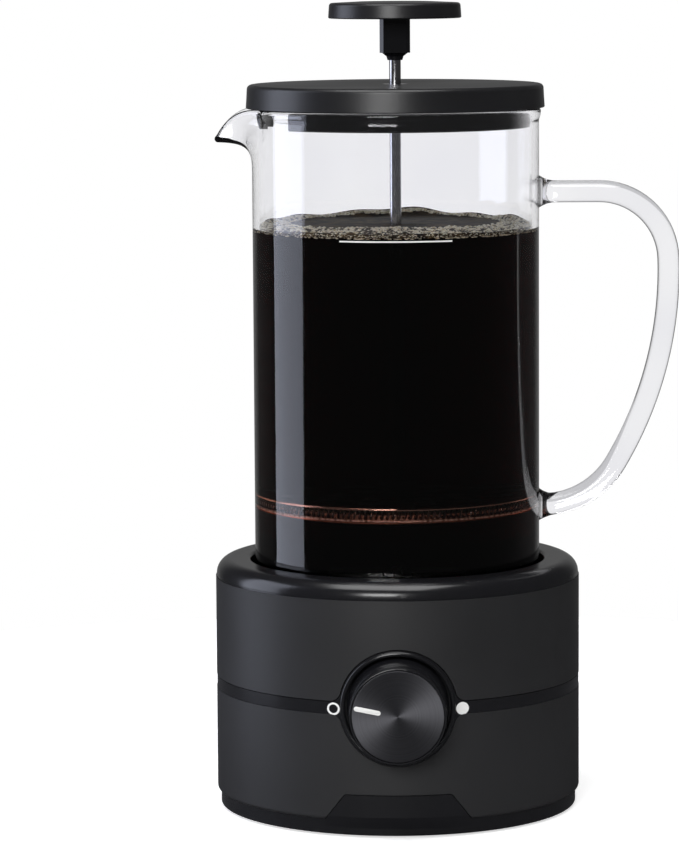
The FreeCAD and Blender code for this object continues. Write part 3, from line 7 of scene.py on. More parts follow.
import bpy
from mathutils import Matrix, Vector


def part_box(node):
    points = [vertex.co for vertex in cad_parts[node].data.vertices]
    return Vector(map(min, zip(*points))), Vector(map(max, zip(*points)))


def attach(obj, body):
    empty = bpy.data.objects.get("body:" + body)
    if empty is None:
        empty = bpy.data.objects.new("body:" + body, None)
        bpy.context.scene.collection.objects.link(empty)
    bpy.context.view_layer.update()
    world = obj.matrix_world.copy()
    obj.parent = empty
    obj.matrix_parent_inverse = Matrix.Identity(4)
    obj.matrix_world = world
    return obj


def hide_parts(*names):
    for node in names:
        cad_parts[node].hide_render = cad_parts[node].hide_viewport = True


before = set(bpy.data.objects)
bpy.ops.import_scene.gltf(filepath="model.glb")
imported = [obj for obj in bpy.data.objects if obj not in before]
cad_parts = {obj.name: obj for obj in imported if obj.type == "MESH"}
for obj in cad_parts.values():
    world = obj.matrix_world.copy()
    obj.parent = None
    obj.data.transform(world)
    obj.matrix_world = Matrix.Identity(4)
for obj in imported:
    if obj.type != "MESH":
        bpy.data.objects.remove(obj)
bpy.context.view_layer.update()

import math
import random

import bmesh
import bpy
import numpy as np
from bpy.props import FloatProperty, IntProperty, PointerProperty, StringProperty
from mathutils import Matrix, Vector

bl_info = {
    "name": "Cold Brew Coffee Maker",
    "version": (1, 0, 0),
    "blender": (4, 5, 0),
    "location": "3D View > Sidebar > Brewer",
    "description": "Glass, coffee, filter and finishes of a cold brew coffee maker",
    "category": "Object",
}

MM = 0.001
GLASS_IOR = 1.47
COFFEE_IOR = 1.34
SMOOTH_ANGLE = math.radians(35)

INK_THICKNESS = 0.03

# Under the foot: a radius, and how much of the hollow's rise is left there
FOOT_RISE = ((12.0, 1.0), (24.0, 0.95), (28.0, 0.7), (32.0, 0.2), (35.0, 0.0), (41.0, 0.0))
RIM_ROUND = 1.2
HANDLE_BELOW_RIM = 30.4
HANDLE_BAR = 21.7
# The radius and the degrees of each bend. The last one runs to the wall.
HANDLE_BENDS = ((25.3, 88.1), (138.0, 32.5), (31.0, None))
# How far the coffee's mesh reaches into the glass, so that no air shows between them
INTO_GLASS = 0.06
# A distance from the glass, and how much of the meniscus is left there
MENISCUS_SHAPE = ((0.0, 1.0), (0.5, 0.5), (1.3, 0.15), (2.6, 0.0))
FILM_RINGS = (2.6, 4, 8, 13, 18, 23, 28, 33, 37, 41, 44, 46, 47.5, 48.7)
# Degrees round the carafe, where -90 is the front, and a radius
LARGE_BUBBLES = (
    (-116, 1.5), (-109, 2.0), (-97, 1.7), (-92, 1.4), (-86, 2.1), (-80, 1.3),
    (-64, 1.2), (-140, 1.3), (40, 1.9), (118, 2.2),
)


def cad_size(node, corner, axis):
    """One side of a CAD node's box in millimetres: corner 0 is the low one, axis 2 is height."""
    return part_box(node)[corner][axis] / MM


# Sizes and colours that a user may change

class BrewerGlass(bpy.types.PropertyGroup):
    """Blown carafe and its rod handle."""
    radius: FloatProperty(
        name="Radius", description="Outside radius of the carafe's wall", default=52.0)
    wall: FloatProperty(
        name="Wall", description="Thickness of the carafe's wall", default=2.3)
    floor: FloatProperty(
        name="Floor", description="Thickness of the carafe's floor", default=4.0)
    heel: FloatProperty(
        name="Heel", description="Rounding between wall and foot", default=5.0)
    hollow: FloatProperty(
        name="Hollow", description="Rise of the floor inside the foot", default=0.8)
    bead: FloatProperty(
        name="Bead", description="How far the rim's bead stands out", default=0.7)
    spout_reach: FloatProperty(
        name="Spout reach", description="How far the lip reaches out of the wall", default=12.3)
    spout_drop: FloatProperty(
        name="Spout drop", description="How far the lip hangs below the rim", default=11.4)
    spout_root: FloatProperty(
        name="Spout root", description="Where the spout starts, below the rim", default=22.8)
    spout_spread: FloatProperty(
        name="Spout spread", description="Half the spout's angle at the wall",
        default=math.radians(21.0), subtype="ANGLE")
    rod: FloatProperty(
        name="Rod", description="Radius of the handle's glass rod", default=4.0)
    rod_tint: StringProperty(
        name="Rod tint", description="Colour of the handle's thicker glass", default="E6E6EC")
    tint: StringProperty(
        name="Tint", description="Colour of the glass", default="F8F8FC")


class BrewerCoffee(bpy.types.PropertyGroup):
    """Brewed coffee, its foam and the printed fill line."""
    level: FloatProperty(
        name="Level", description="Height of the coffee above the table", default=211.4)
    meniscus: FloatProperty(
        name="Meniscus", description="Rise of the coffee at the glass", default=0.5)
    bubbles: IntProperty(
        name="Bubbles", description="Number of foam bubbles", default=4600, min=0)
    density: FloatProperty(
        name="Density", description="How strongly the coffee takes in light, per metre",
        default=300.0)
    tint: StringProperty(
        name="Tint", description="Colour that a thin layer of coffee lets through",
        default="DC8C3C")
    foam: StringProperty(
        name="Foam", description="Colour of the foam", default="FFF8E4")
    line_level: FloatProperty(
        name="Fill line", description="Height of the printed fill line", default=210.4)
    line_length: FloatProperty(
        name="Fill line length", description="Length of the fill line round the glass",
        default=40.8)
    line_width: FloatProperty(
        name="Fill line width", description="Width of the fill line", default=0.55)


class BrewerDial(bpy.types.PropertyGroup):
    """Printed marks beside the dial, and the pointer on its face."""
    mark_distance: FloatProperty(
        name="Mark distance", description="From the dial's axis to each mark", default=22.8)
    mark_height: FloatProperty(
        name="Mark height", description="Height of the marks above the table", default=46.2)
    mark_radius: FloatProperty(
        name="Mark radius", description="Radius of each mark", default=2.25)
    mark_stroke: FloatProperty(
        name="Mark stroke", description="Line width of the open mark", default=0.7)
    pointer_inner: FloatProperty(
        name="Pointer start", description="Pointer's inner end, from the axis", default=6.2)
    pointer_outer: FloatProperty(
        name="Pointer end", description="Pointer's outer end, from the axis", default=15.7)
    pointer_width: FloatProperty(
        name="Pointer width", description="Width of the pointer", default=1.7)
    pointer_turn: FloatProperty(
        name="Pointer turn", description="Pointer's rise above the horizontal",
        default=math.radians(11.5), subtype="ANGLE")
    ink: StringProperty(name="Ink", description="Colour of the printed marks", default="F4F4F2")


class BrewerShell(bpy.types.PropertyGroup):
    """Colours of the moulded shells and the metal."""
    housing: StringProperty(
        name="Housing", description="Satin moulded shells", default="222223")
    gloss: StringProperty(
        name="Gloss", description="Polished moulded parts", default="141416")
    lid: StringProperty(name="Lid", description="Lid and plunger knob", default="1A1A1C")
    rubber: StringProperty(name="Rubber", description="Foot, cushion and gland", default="1C1C1D")
    dial_metal: StringProperty(
        name="Dial face", description="Anodised dial face", default="515155")
    steel: StringProperty(name="Steel", description="Stainless steel", default="C9C9CC")


class BrewerStage(bpy.types.PropertyGroup):
    """Camera and studio."""
    distance: FloatProperty(
        name="Distance", description="Camera's distance in front of the axis", default=1502.8)
    height: FloatProperty(
        name="Height", description="Camera's height above the table", default=317.3)
    yaw: FloatProperty(
        name="Yaw", description="Camera's turn to the left", default=0.0139, subtype="ANGLE")
    pitch: FloatProperty(
        name="Pitch", description="Camera's tilt down", default=0.1193, subtype="ANGLE")
    roll: FloatProperty(
        name="Roll", description="Camera's roll", default=-0.0063, subtype="ANGLE")
    lens: FloatProperty(
        name="Lens", description="Focal length on a 36 mm high sensor", default=172.58)
    floor_radius: FloatProperty(
        name="Floor radius", description="Radius of the round sweep of paper", default=420.0)
    floor_white: FloatProperty(
        name="Floor white", description="How much of the floor's white is kept in the shadow",
        default=0.62)


# Colours and materials

def linear(code):
    """An sRGB hex value as linear RGBA."""
    parts = [int(code[place:place + 2], 16) / 255 for place in (0, 2, 4)]
    turned = [part / 12.92 if part <= 0.04045 else ((part + 0.055) / 1.055) ** 2.4
              for part in parts]
    return (*turned, 1.0)


def add_node(tree, kind, sockets=None, **settings):
    """Adds a node with its settings. A socket's value is a number, a colour or a link."""
    node = tree.nodes.new(kind)
    for name, value in settings.items():
        setattr(node, name, value)
    for name, value in (sockets or {}).items():
        if isinstance(value, bpy.types.NodeSocket):
            tree.links.new(value, node.inputs[name])
        else:
            node.inputs[name].default_value = value
    return node


def new_material(name, constants):
    """A material, its node tree, its shader with these constants, and places on the object."""
    material = bpy.data.materials.new(name)
    material.use_nodes = True
    tree = material.node_tree
    shader = tree.nodes["Principled BSDF"]
    for socket, value in constants.items():
        shader.inputs[socket].default_value = value
    place = add_node(tree, "ShaderNodeTexCoord").outputs["Object"]
    return material, tree, shader, place


def per_mm(size):
    """Texture scale at which one cell of a pattern is this many millimetres wide."""
    return 1.0 / (size * MM)


def two_tone(tree, factor, dark, light):
    """A colour that runs from dark to light with a factor."""
    return add_node(
        tree, "ShaderNodeMix", {0: factor, 6: linear(dark), 7: linear(light)},
        data_type="RGBA").outputs[2]


def coloured(tree, shader, factor, dark, light):
    """Gives the shader a base colour that runs from dark to light with a factor."""
    tree.links.new(two_tone(tree, factor, dark, light), shader.inputs["Base Color"])


def unevenly_rough(tree, shader, factor, low, high):
    """Gives the shader a roughness that follows the middle range of a noise."""
    gloss = add_node(tree, "ShaderNodeMapRange", {
        "Value": factor, "From Min": 0.3, "From Max": 0.7, "To Min": low, "To Max": high})
    tree.links.new(gloss.outputs["Result"], shader.inputs["Roughness"])


def bumped(tree, shader, height, depth):
    """Gives the shader a bump of this depth in millimetres."""
    bump = add_node(tree, "ShaderNodeBump", {
        "Height": height, "Strength": 1.0, "Distance": depth * MM})
    tree.links.new(bump.outputs["Normal"], shader.inputs["Normal"])


def moulded(name, dark, light, roughness, grain, depth):
    """Moulded plastic or rubber: a fine grain from the tool and a slightly uneven gloss."""
    material, tree, shader, place = new_material(name, {"IOR": 1.5})
    grit = add_node(tree, "ShaderNodeTexNoise", {
        "Vector": place, "Scale": per_mm(grain), "Detail": 2.0})
    flow = add_node(tree, "ShaderNodeTexNoise", {
        "Vector": place, "Scale": per_mm(45.0), "Detail": 3.0})
    coloured(tree, shader, flow.outputs["Fac"], dark, light)
    unevenly_rough(tree, shader, flow.outputs["Fac"], roughness * 0.9, roughness * 1.12)
    bumped(tree, shader, grit.outputs["Fac"], depth)
    return material


def metal(name, dark, light, roughness, streak, depth, stretch=(1.0, 1.0, 1.0)):
    """Metal with fine marks from drawing, brushing or polishing, stretched along the work."""
    material, tree, shader, place = new_material(name, {"Metallic": 1.0})
    along = add_node(tree, "ShaderNodeMapping", {"Vector": place, "Scale": stretch})
    marks = add_node(tree, "ShaderNodeTexNoise", {
        "Vector": along.outputs["Vector"], "Scale": per_mm(streak), "Detail": 3.0})
    coloured(tree, shader, marks.outputs["Fac"], dark, light)
    unevenly_rough(tree, shader, marks.outputs["Fac"], roughness * 0.8, roughness * 1.25)
    bumped(tree, shader, marks.outputs["Fac"], depth)
    return material


def satin_abs(shell):
    """ABS moulded against a spark-eroded tool: a quiet satin black without a sharp highlight."""
    return moulded("satin_moulded_ABS", shell.housing, "28282A", 0.46, 0.35, 0.012)


def glossy_abs(shell):
    """ABS from a fine-blasted tool: black with soft but readable reflections."""
    return moulded("glossy_moulded_ABS", shell.gloss, "19191C", 0.2, 1.2, 0.003)


def polished_abs(shell):
    """ABS from a polished tool: deep black with clear, slightly wavy reflections."""
    return moulded("polished_moulded_ABS", shell.gloss, "19191C", 0.09, 6.0, 0.004)


def satin_polypropylene(shell):
    """Polypropylene with a fine texture, as lids have: soft grey highlights on black."""
    return moulded("satin_polypropylene", shell.lid, "202022", 0.33, 0.4, 0.01)


def black_rubber(shell):
    """Moulded rubber: dull, and a little greyer where it is rubbed."""
    return moulded("moulded_rubber", shell.rubber, "272728", 0.68, 0.5, 0.03)


def spun_aluminium(shell):
    """Aluminium faced on a lathe and anodised grey: bright fans that run out from its centre."""
    material, tree, shader, place = new_material(
        "spun_anodised_aluminium", {"Metallic": 1.0, "Roughness": 0.5, "Anisotropic": 0.75})
    axis_height = (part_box("dial_face")[0][2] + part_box("dial_face")[1][2]) / 2
    centred = add_node(tree, "ShaderNodeVectorMath", {
        0: place, 1: (0.0, 0.0, axis_height)}, operation="SUBTRACT")
    flat = add_node(tree, "ShaderNodeVectorMath", {
        0: centred.outputs["Vector"], 1: (1.0, 0.0, 1.0)}, operation="MULTIPLY")
    reach = add_node(tree, "ShaderNodeVectorMath", {
        0: flat.outputs["Vector"]}, operation="LENGTH")
    grooves = add_node(tree, "ShaderNodeTexNoise", {
        "W": reach.outputs["Value"], "Scale": per_mm(0.5), "Detail": 1.0},
        noise_dimensions="1D")
    coloured(tree, shader, grooves.outputs["Fac"], shell.dial_metal, "5E5E62")
    tangent = add_node(tree, "ShaderNodeTangent", direction_type="RADIAL", axis="Y")
    tree.links.new(tangent.outputs["Tangent"], shader.inputs["Tangent"])
    bumped(tree, shader, grooves.outputs["Fac"], 0.006)
    return material


def borosilicate(name, tint, ior=GLASS_IOR):
    """Blown borosilicate glass: clear, with slow waves in the wall that bend what is behind.

    Where a liquid lies on the glass, the IOR is the step between the two.
    """
    material, tree, shader, place = new_material(
        name, {"Roughness": 0.0, "IOR": ior, "Transmission Weight": 1.0})
    waves = add_node(tree, "ShaderNodeTexNoise", {
        "Vector": place, "Scale": per_mm(38.0), "Detail": 1.0})
    coloured(tree, shader, waves.outputs["Fac"], tint, "FFFFFF")
    bumped(tree, shader, waves.outputs["Fac"], 0.05)
    return material


def brewed_coffee(coffee, name, ior):
    """Filtered coffee: amber where it is thin, black where it is deep.

    Its side against the glass has an IOR of 1, because the wet glass already bends the light.
    """
    material, tree, shader, place = new_material(
        name, {"Roughness": 0.0, "IOR": ior, "Transmission Weight": 1.0})
    drift = add_node(tree, "ShaderNodeTexNoise", {
        "Vector": place, "Scale": per_mm(16.0), "Detail": 2.0})
    coloured(tree, shader, drift.outputs["Fac"], "FFF4E8", "FFFFFF")
    bumped(tree, shader, drift.outputs["Fac"], 0.05)
    absorb = add_node(tree, "ShaderNodeVolumeAbsorption", {
        "Color": linear(coffee.tint), "Density": coffee.density})
    output = tree.nodes["Material Output"]
    tree.links.new(absorb.outputs["Volume"], output.inputs["Volume"])
    return material


def coffee_foam(coffee):
    """Foam of small bubbles: wet cream skins with brown between them."""
    material, tree, shader, place = new_material(
        "coffee_foam", {"Roughness": 0.2, "IOR": COFFEE_IOR})
    cells = add_node(tree, "ShaderNodeTexVoronoi", {"Vector": place, "Scale": per_mm(0.8)})
    spread = add_node(tree, "ShaderNodeMapRange", {
        "Value": cells.outputs["Distance"], "From Min": 0.15, "From Max": 0.6})
    coloured(tree, shader, spread.outputs["Result"], "C2AC7C", coffee.foam)
    return material


def foam_film():
    """Thin collapsed foam: dull brown, with paler rafts of the finest bubbles."""
    material, tree, shader, place = new_material("collapsed_foam", {
        "Roughness": 0.6, "Specular IOR Level": 0.2, "IOR": COFFEE_IOR})
    rafts = add_node(tree, "ShaderNodeTexNoise", {
        "Vector": place, "Scale": per_mm(9.0), "Detail": 6.0, "Distortion": 1.2})
    patchy = add_node(tree, "ShaderNodeMapRange", {
        "Value": rafts.outputs["Fac"], "From Min": 0.4, "From Max": 0.66})
    coloured(tree, shader, patchy.outputs["Result"], "1C150E", "54432C")
    grit = add_node(tree, "ShaderNodeTexVoronoi", {"Vector": place, "Scale": per_mm(0.7)})
    bumped(tree, shader, grit.outputs["Distance"], 0.15)
    return material


def screen_ink(dial):
    """Screen-printed ink: matte white, a touch uneven."""
    return moulded("screen_printed_ink", "E9E9E6", dial.ink, 0.5, 0.3, 0.004)


def woven_mesh(shell):
    """Stainless cloth. Its weave is too fine to show and is drawn as coarse as it needs."""
    material, tree, shader, place = new_material(
        "woven_stainless_mesh", {"Metallic": 1.0, "Roughness": 0.35})
    warp, weft = (
        add_node(tree, "ShaderNodeTexWave", {
            "Vector": place, "Scale": per_mm(0.9) / 6.3}, bands_direction=direction)
        for direction in "XY")
    weave = add_node(tree, "ShaderNodeMath", {
        0: warp.outputs["Fac"], 1: weft.outputs["Fac"]}, operation="MAXIMUM")
    coloured(tree, shader, weave.outputs["Value"], "4A4A4C", shell.steel)
    bumped(tree, shader, weave.outputs["Value"], 0.1)
    return material


def circuit_laminate():
    """Glass-epoxy board under green solder mask, with darker tracks."""
    material, tree, shader, place = new_material("glass_epoxy_laminate", {"Roughness": 0.35})
    tracks = add_node(tree, "ShaderNodeTexBrick", {
        "Vector": place, "Scale": per_mm(5.0), "Color1": linear("0F4A2A"),
        "Color2": linear("14583A"), "Mortar": linear("0A3A20"), "Mortar Size": 0.06})
    tree.links.new(tracks.outputs["Color"], shader.inputs["Base Color"])
    bumped(tree, shader, tracks.outputs["Fac"], 0.03)
    return material


def paint_nodes(material, *nodes):
    """Gives CAD nodes this material."""
    for node in nodes:
        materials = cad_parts[node].data.materials
        materials.clear()
        materials.append(material)


# Meshes

def finish_piece(name, bm, material, body):
    """Turns a mesh made in millimetres into a piece that rides on a body."""
    bmesh.ops.scale(bm, vec=(MM, MM, MM), verts=bm.verts)
    bmesh.ops.recalc_face_normals(bm, faces=bm.faces)
    mesh = bpy.data.meshes.new(name)
    bm.to_mesh(mesh)
    bm.free()
    mesh.polygons.foreach_set("use_smooth", [True] * len(mesh.polygons))
    mesh.set_sharp_from_angle(angle=SMOOTH_ANGLE)
    mesh.materials.append(material)
    piece = bpy.data.objects.new(name, mesh)
    bpy.context.scene.collection.objects.link(piece)
    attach(piece, body)
    return piece


def skin_rings(bm, rings, closed=True):
    """Joins rings of points into a skin. A ring of one point closes an end."""
    rows = [[bm.verts.new(point) for point in ring] for ring in rings]
    for lower, upper in zip(rows, rows[1:]):
        count = max(len(lower), len(upper))
        steps = count if closed else count - 1
        for step in range(steps):
            following = (step + 1) % count
            corners = [
                lower[step % len(lower)], lower[following % len(lower)],
                upper[following % len(upper)], upper[step % len(upper)],
            ]
            kept = list(dict.fromkeys(corners))
            if len(kept) > 2:
                bm.faces.new(kept)
    return rows


def circle_points(radius, level, steps):
    """Points round the Z axis, or the one point on it where the radius is nought."""
    if radius < 1e-6:
        return [(0.0, 0.0, level)]
    return [
        (radius * math.cos(math.tau * step / steps),
         radius * math.sin(math.tau * step / steps), level)
        for step in range(steps)
    ]


def lathe(bm, profile, steps=128):
    """Turns an outline of (radius, height) points about Z."""
    return skin_rings(bm, [circle_points(radius, level, steps) for radius, level in profile])


def rounded(centre, radius, start, end, steps):
    """Points on an arc in the outline's plane, from one angle in degrees to another."""
    points = []
    for step in range(steps + 1):
        angle = math.radians(start + (end - start) * step / steps)
        points.append((centre[0] + radius * math.cos(angle),
                       centre[1] + radius * math.sin(angle)))
    return points


def sweep_tube(bm, path, radii, sides=24, closed=False):
    """A round tube along points, with a radius for each point and rings that do not twist."""
    count = len(path)
    previous = None
    rings = []
    for number, place in enumerate(path):
        if closed:
            ahead = path[(number + 1) % count]
            behind = path[number - 1]
        else:
            ahead = path[min(number + 1, count - 1)]
            behind = path[max(number - 1, 0)]
        along = (ahead - behind).normalized()
        if previous is None:
            previous = along.orthogonal().normalized()
        side = (previous - along * previous.dot(along)).normalized()
        up = along.cross(side)
        previous = side
        rings.append([
            place + (side * math.cos(turn) + up * math.sin(turn)) * radii[number]
            for turn in (math.tau * step / sides for step in range(sides))
        ])
    if closed:
        rings.append(rings[0])
    else:
        rings = [[path[0]]] + rings + [[path[-1]]]
    skin_rings(bm, rings)
    bmesh.ops.remove_doubles(bm, verts=bm.verts, dist=1e-5)


# The glass

def inner_radius(glass):
    """Radius of the carafe's bore."""
    return glass.radius - glass.wall


def spout_weight(angle, spread):
    """1 at the spout's middle and 0 at its sides, peaked like a pulled lip."""
    soft = spread * 0.08
    reach = math.hypot(spread, soft) - soft
    share = (math.hypot(angle, soft) - soft) / reach
    return max(0.0, 1.0 - share) ** 1.9 if share < 1.0 else 0.0


def spout_curve(share, radius, root, reach, drop, rim):
    """Outside of the spout in its middle plane, from its root at share 0 to its lip at 1."""
    lip = rim - drop
    guide = [
        (radius, root),
        (radius + 0.2, lip - 5.2),
        (radius + 1.4, lip - 0.9),
        (radius + reach, lip - 0.6),
    ]
    rest = 1.0 - share
    parts = (rest ** 3, 3 * rest * rest * share, 3 * rest * share * share, share ** 3)
    return (sum(part * place[0] for part, place in zip(parts, guide)),
            sum(part * place[1] for part, place in zip(parts, guide)))


def vessel_outside(glass, foot, rim):
    """Outline of the carafe's outside, from the middle of its foot to under the rim's top."""
    radius = glass.radius
    outline = [(0.0, foot + glass.hollow)]
    outline += [(reach, foot + glass.hollow * share) for reach, share in FOOT_RISE]
    outline += rounded((radius - glass.heel, foot + glass.heel), glass.heel, -90, 0, 12)
    wall_steps = 46
    low = foot + glass.heel
    high = rim - glass.spout_root
    outline += [(radius, low + (high - low) * step / wall_steps)
                for step in range(1, wall_steps)]
    lip_steps = 26
    outline += [(radius, high + (rim - RIM_ROUND - high) * step / lip_steps)
                for step in range(lip_steps + 1)]
    return outline


def vessel_wall(glass, level, foot, rim):
    """Thickness of the glass at a height of the outside: thick at the heel, even above it."""
    fade = glass.floor + glass.heel * 1.4
    share = min(1.0, max(0.0, (level - foot) / fade))
    smooth = share * share * (3 - 2 * share)
    return glass.floor * (1 - smooth) + glass.wall * smooth


def make_vessel(glass):
    """The carafe: a blown pot with a beaded rim and a lip pulled out of its wall."""
    foot = cad_size("carafe_glass", 0, 2)
    rim = cad_size("carafe_glass", 1, 2)
    outline = vessel_outside(glass, foot, rim)
    steps = 288
    bead_start, bead_span = 0.86, 0.14
    root = rim - glass.spout_root
    outside = np.zeros((len(outline), steps, 3))
    for row, (radius, level) in enumerate(outline):
        for step in range(steps):
            turn = math.tau * step / steps
            off_spout = abs((turn + math.pi) % math.tau - math.pi)
            reach, height = radius, level
            if level > root:
                share = (level - root) / (rim - RIM_ROUND - root)
                weight = spout_weight(off_spout, glass.spout_spread)
                narrow = weight ** 0.62 * (0.35 + 0.65 * share)
                fall = weight ** 1.35
                out, up = spout_curve(
                    share, radius, root, glass.spout_reach, glass.spout_drop, rim)
                reach = radius + (out - radius) * narrow
                height = level + (up - level) * fall
                bead = max(0.0, (share - bead_start) / bead_span)
                reach += glass.bead * math.sin(bead * math.pi / 2) * (1 - weight)
            outside[row, step] = (
                reach * math.cos(turn + math.pi), reach * math.sin(turn + math.pi), height)
    around = np.roll(outside, -1, axis=1) - np.roll(outside, 1, axis=1)
    upward = np.gradient(outside, axis=0)
    normals = np.cross(around, upward)
    lengths = np.linalg.norm(normals, axis=2, keepdims=True)
    normals = np.divide(normals, lengths, out=np.zeros_like(normals), where=lengths > 1e-9)
    normals[0] = (0.0, 0.0, -1.0)
    bm = bmesh.new()
    rings = [[tuple(outside[0, 0])]]
    rings += [[tuple(point) for point in row] for row in outside[1:]]
    edge, edge_normal, edge_up = outside[-1], normals[-1], upward[-1]
    edge_up = edge_up / np.linalg.norm(edge_up, axis=1, keepdims=True)
    thick = glass.wall + glass.bead * 0.4
    for degrees in range(15, 180, 15):
        turn = math.radians(degrees)
        ring = (edge - edge_normal * thick / 2 * (1 - math.cos(turn))
                + edge_up * thick / 2 * math.sin(turn))
        rings.append([tuple(point) for point in ring])
    inside = []
    for row in range(len(outline) - 1, 0, -1):
        wall = vessel_wall(glass, outline[row][1], foot, rim)
        if row > len(outline) - 5:
            wall = thick
        inside.append(outside[row] - normals[row] * wall)
    rings += [[tuple(point) for point in row] for row in inside]
    rings.append([(0.0, 0.0, foot + glass.floor)])
    skin_rings(bm, rings)
    return bm


def wet_faces(vessel, glass, coffee):
    """Gives the inside of the glass that coffee covers the small step between the two."""
    slack = 0.2
    floor_share = 0.6
    inside = (inner_radius(glass) + slack) * MM
    floor = cad_size("carafe_glass", 0, 2) + glass.floor * floor_share
    for face in vessel.data.polygons:
        reach = math.hypot(face.center.x, face.center.y)
        wet = floor * MM < face.center.z < (coffee.level + coffee.meniscus) * MM
        face.material_index = int(wet and reach < inside)


def handle_line(glass):
    """Middle line of the handle: a bar from the wall, then three bends that turn one way."""
    rim = cad_size("carafe_glass", 1, 2)
    weld_depth = 0.6
    spacing = 2.2
    bar_steps = 12
    wall = glass.radius - weld_depth
    level = rim - HANDLE_BELOW_RIM
    bar_end = glass.radius + HANDLE_BAR
    points = [Vector((wall + (bar_end - wall) * step / bar_steps, 0, level))
              for step in range(bar_steps + 1)]
    heading = 0.0
    place = points[-1]
    for radius, degrees in HANDLE_BENDS:
        centre = place + Vector((math.sin(heading), 0, -math.cos(heading))) * radius
        if degrees is None:
            sweep = math.pi - math.asin((wall - centre.x) / radius) + heading
        else:
            sweep = math.radians(degrees)
        count = max(10, int(radius * sweep / spacing))
        for step in range(1, count + 1):
            turn = heading - sweep * step / count
            points.append(centre + Vector((-math.sin(turn), 0, math.cos(turn))) * radius)
        heading -= sweep
        place = points[-1]
    return points


def make_handle(glass):
    """Glass rod handle, flared where it is welded to the wall."""
    flare_length, flare_growth, flare_power = 5.5, 2.2, 1.6
    points = handle_line(glass)
    lengths = [0.0]
    for before, after in zip(points, points[1:]):
        lengths.append(lengths[-1] + (after - before).length)
    radii = []
    for length in lengths:
        nearest = min(length, lengths[-1] - length)
        flare = max(0.0, 1.0 - nearest / flare_length)
        radii.append(glass.rod + flare_growth * flare ** flare_power)
    bm = bmesh.new()
    sweep_tube(bm, points, radii, sides=40)
    return bm


def make_fill_line(glass, coffee):
    """Thin printed line on the front of the glass."""
    bm = bmesh.new()
    radius = glass.radius + INK_THICKNESS
    half = coffee.line_length / 2 / radius
    steps = 32
    rings = []
    for edge in (-0.5, 0.5):
        level = coffee.line_level + coffee.line_width * edge
        rings.append([
            (radius * math.sin(-half + 2 * half * step / steps),
             -radius * math.cos(-half + 2 * half * step / steps), level)
            for step in range(steps + 1)
        ])
    skin_rings(bm, rings, closed=False)
    return bm


# Coffee and foam

def make_coffee(glass, coffee):
    """The coffee: it fills the carafe to its level and wets the wall a little above it."""
    radius = inner_radius(glass) + INTO_GLASS
    floor = cad_size("carafe_glass", 0, 2) + glass.floor - INTO_GLASS
    corner = 7.0
    outline = [(0.0, floor), (14.0, floor), (28.0, floor)]
    outline += rounded((radius - corner, floor + corner), corner, -90, 0, 10)
    steps = 30
    low = floor + corner
    outline += [(radius, low + (coffee.level - low) * step / steps)
                for step in range(1, steps + 1)]
    outline += [(radius - inset, coffee.level + coffee.meniscus * share)
                for inset, share in MENISCUS_SHAPE]
    outline += [(radius * share, coffee.level) for share in (0.6, 0.3, 0.0)]
    bm = bmesh.new()
    lathe(bm, outline, 192)
    return bm


def add_bubble(bm, x, y, level, radius, sides=6, rows=2):
    """Upper half of one bubble, a little flat and sunk."""
    flat, sunk = 0.8, 0.1
    rings = [[(x, y, level + radius * flat)]]
    for row in range(1, rows + 1):
        turn = math.pi / 2 * row / rows
        rings.append([
            (x + radius * math.sin(turn) * math.cos(math.tau * side / sides),
             y + radius * math.sin(turn) * math.sin(math.tau * side / sides),
             level + radius * flat * math.cos(turn) - radius * sunk)
            for side in range(sides)
        ])
    skin_rings(bm, rings)


def raft_height(reach, turn, edge):
    """How high the foam stands over the coffee: in waves, and drawn up the glass behind."""
    thickness, ripple_height, climb, climb_width = 1.5, 0.16, 2.3, 6.0
    ripple = (math.sin(7 * turn + 1.3) * math.sin(0.23 * reach)
              + 0.5 * math.sin(16 * turn + reach))
    wall = max(0.0, 1.0 - (edge - reach) / climb_width)
    behind = max(0.0, math.sin(turn) + 0.25) / 1.25
    wave = 1.0 + 0.3 * math.sin(5 * turn) + 0.22 * math.sin(13 * turn + 2.0)
    return thickness + ripple_height * ripple + climb * behind * wave * wall ** 2


def make_film(glass, coffee):
    """Brown film of foam over the coffee, open where the rod passes."""
    clear_of_glass = 0.05
    edge = inner_radius(glass) - clear_of_glass
    steps = 144
    rings = []
    for reach in (*FILM_RINGS, edge):
        ring = []
        for step in range(steps):
            turn = math.tau * step / steps
            ring.append((reach * math.cos(turn), reach * math.sin(turn),
                         coffee.level + raft_height(reach, turn, edge)))
        rings.append(ring)
    rings.append([(x, y, coffee.level) for x, y, _ in rings[-1]])
    bm = bmesh.new()
    skin_rings(bm, rings)
    return bm


def make_foam(glass, coffee):
    """Fine bubbles: some against the glass, the rest on the film, most of them in front."""
    smallest, common, rare_extra = 0.3, 0.6, 0.7
    raft_behind, raft_in_front = 1.0, 36.0
    dice = random.Random(34)
    bm = bmesh.new()
    edge = inner_radius(glass)
    for number in range(coffee.bubbles):
        turn = dice.uniform(0, math.tau)
        front = 0.5 - 0.5 * math.sin(turn)
        radius = dice.uniform(smallest, common) + rare_extra * dice.random() ** 7
        on_the_film = number % 3
        if on_the_film:
            depth = (raft_behind + raft_in_front * front ** 1.5) * dice.random() ** 1.3
            reach = edge - radius * 0.9 - depth
            rise = raft_height(reach, turn, edge) - 0.2
        else:
            reach = edge - radius * 0.85
            rise = dice.uniform(-0.2, 0.85) * raft_height(reach, turn, edge)
        add_bubble(
            bm, reach * math.cos(turn), reach * math.sin(turn), coffee.level + rise, radius)
    return bm


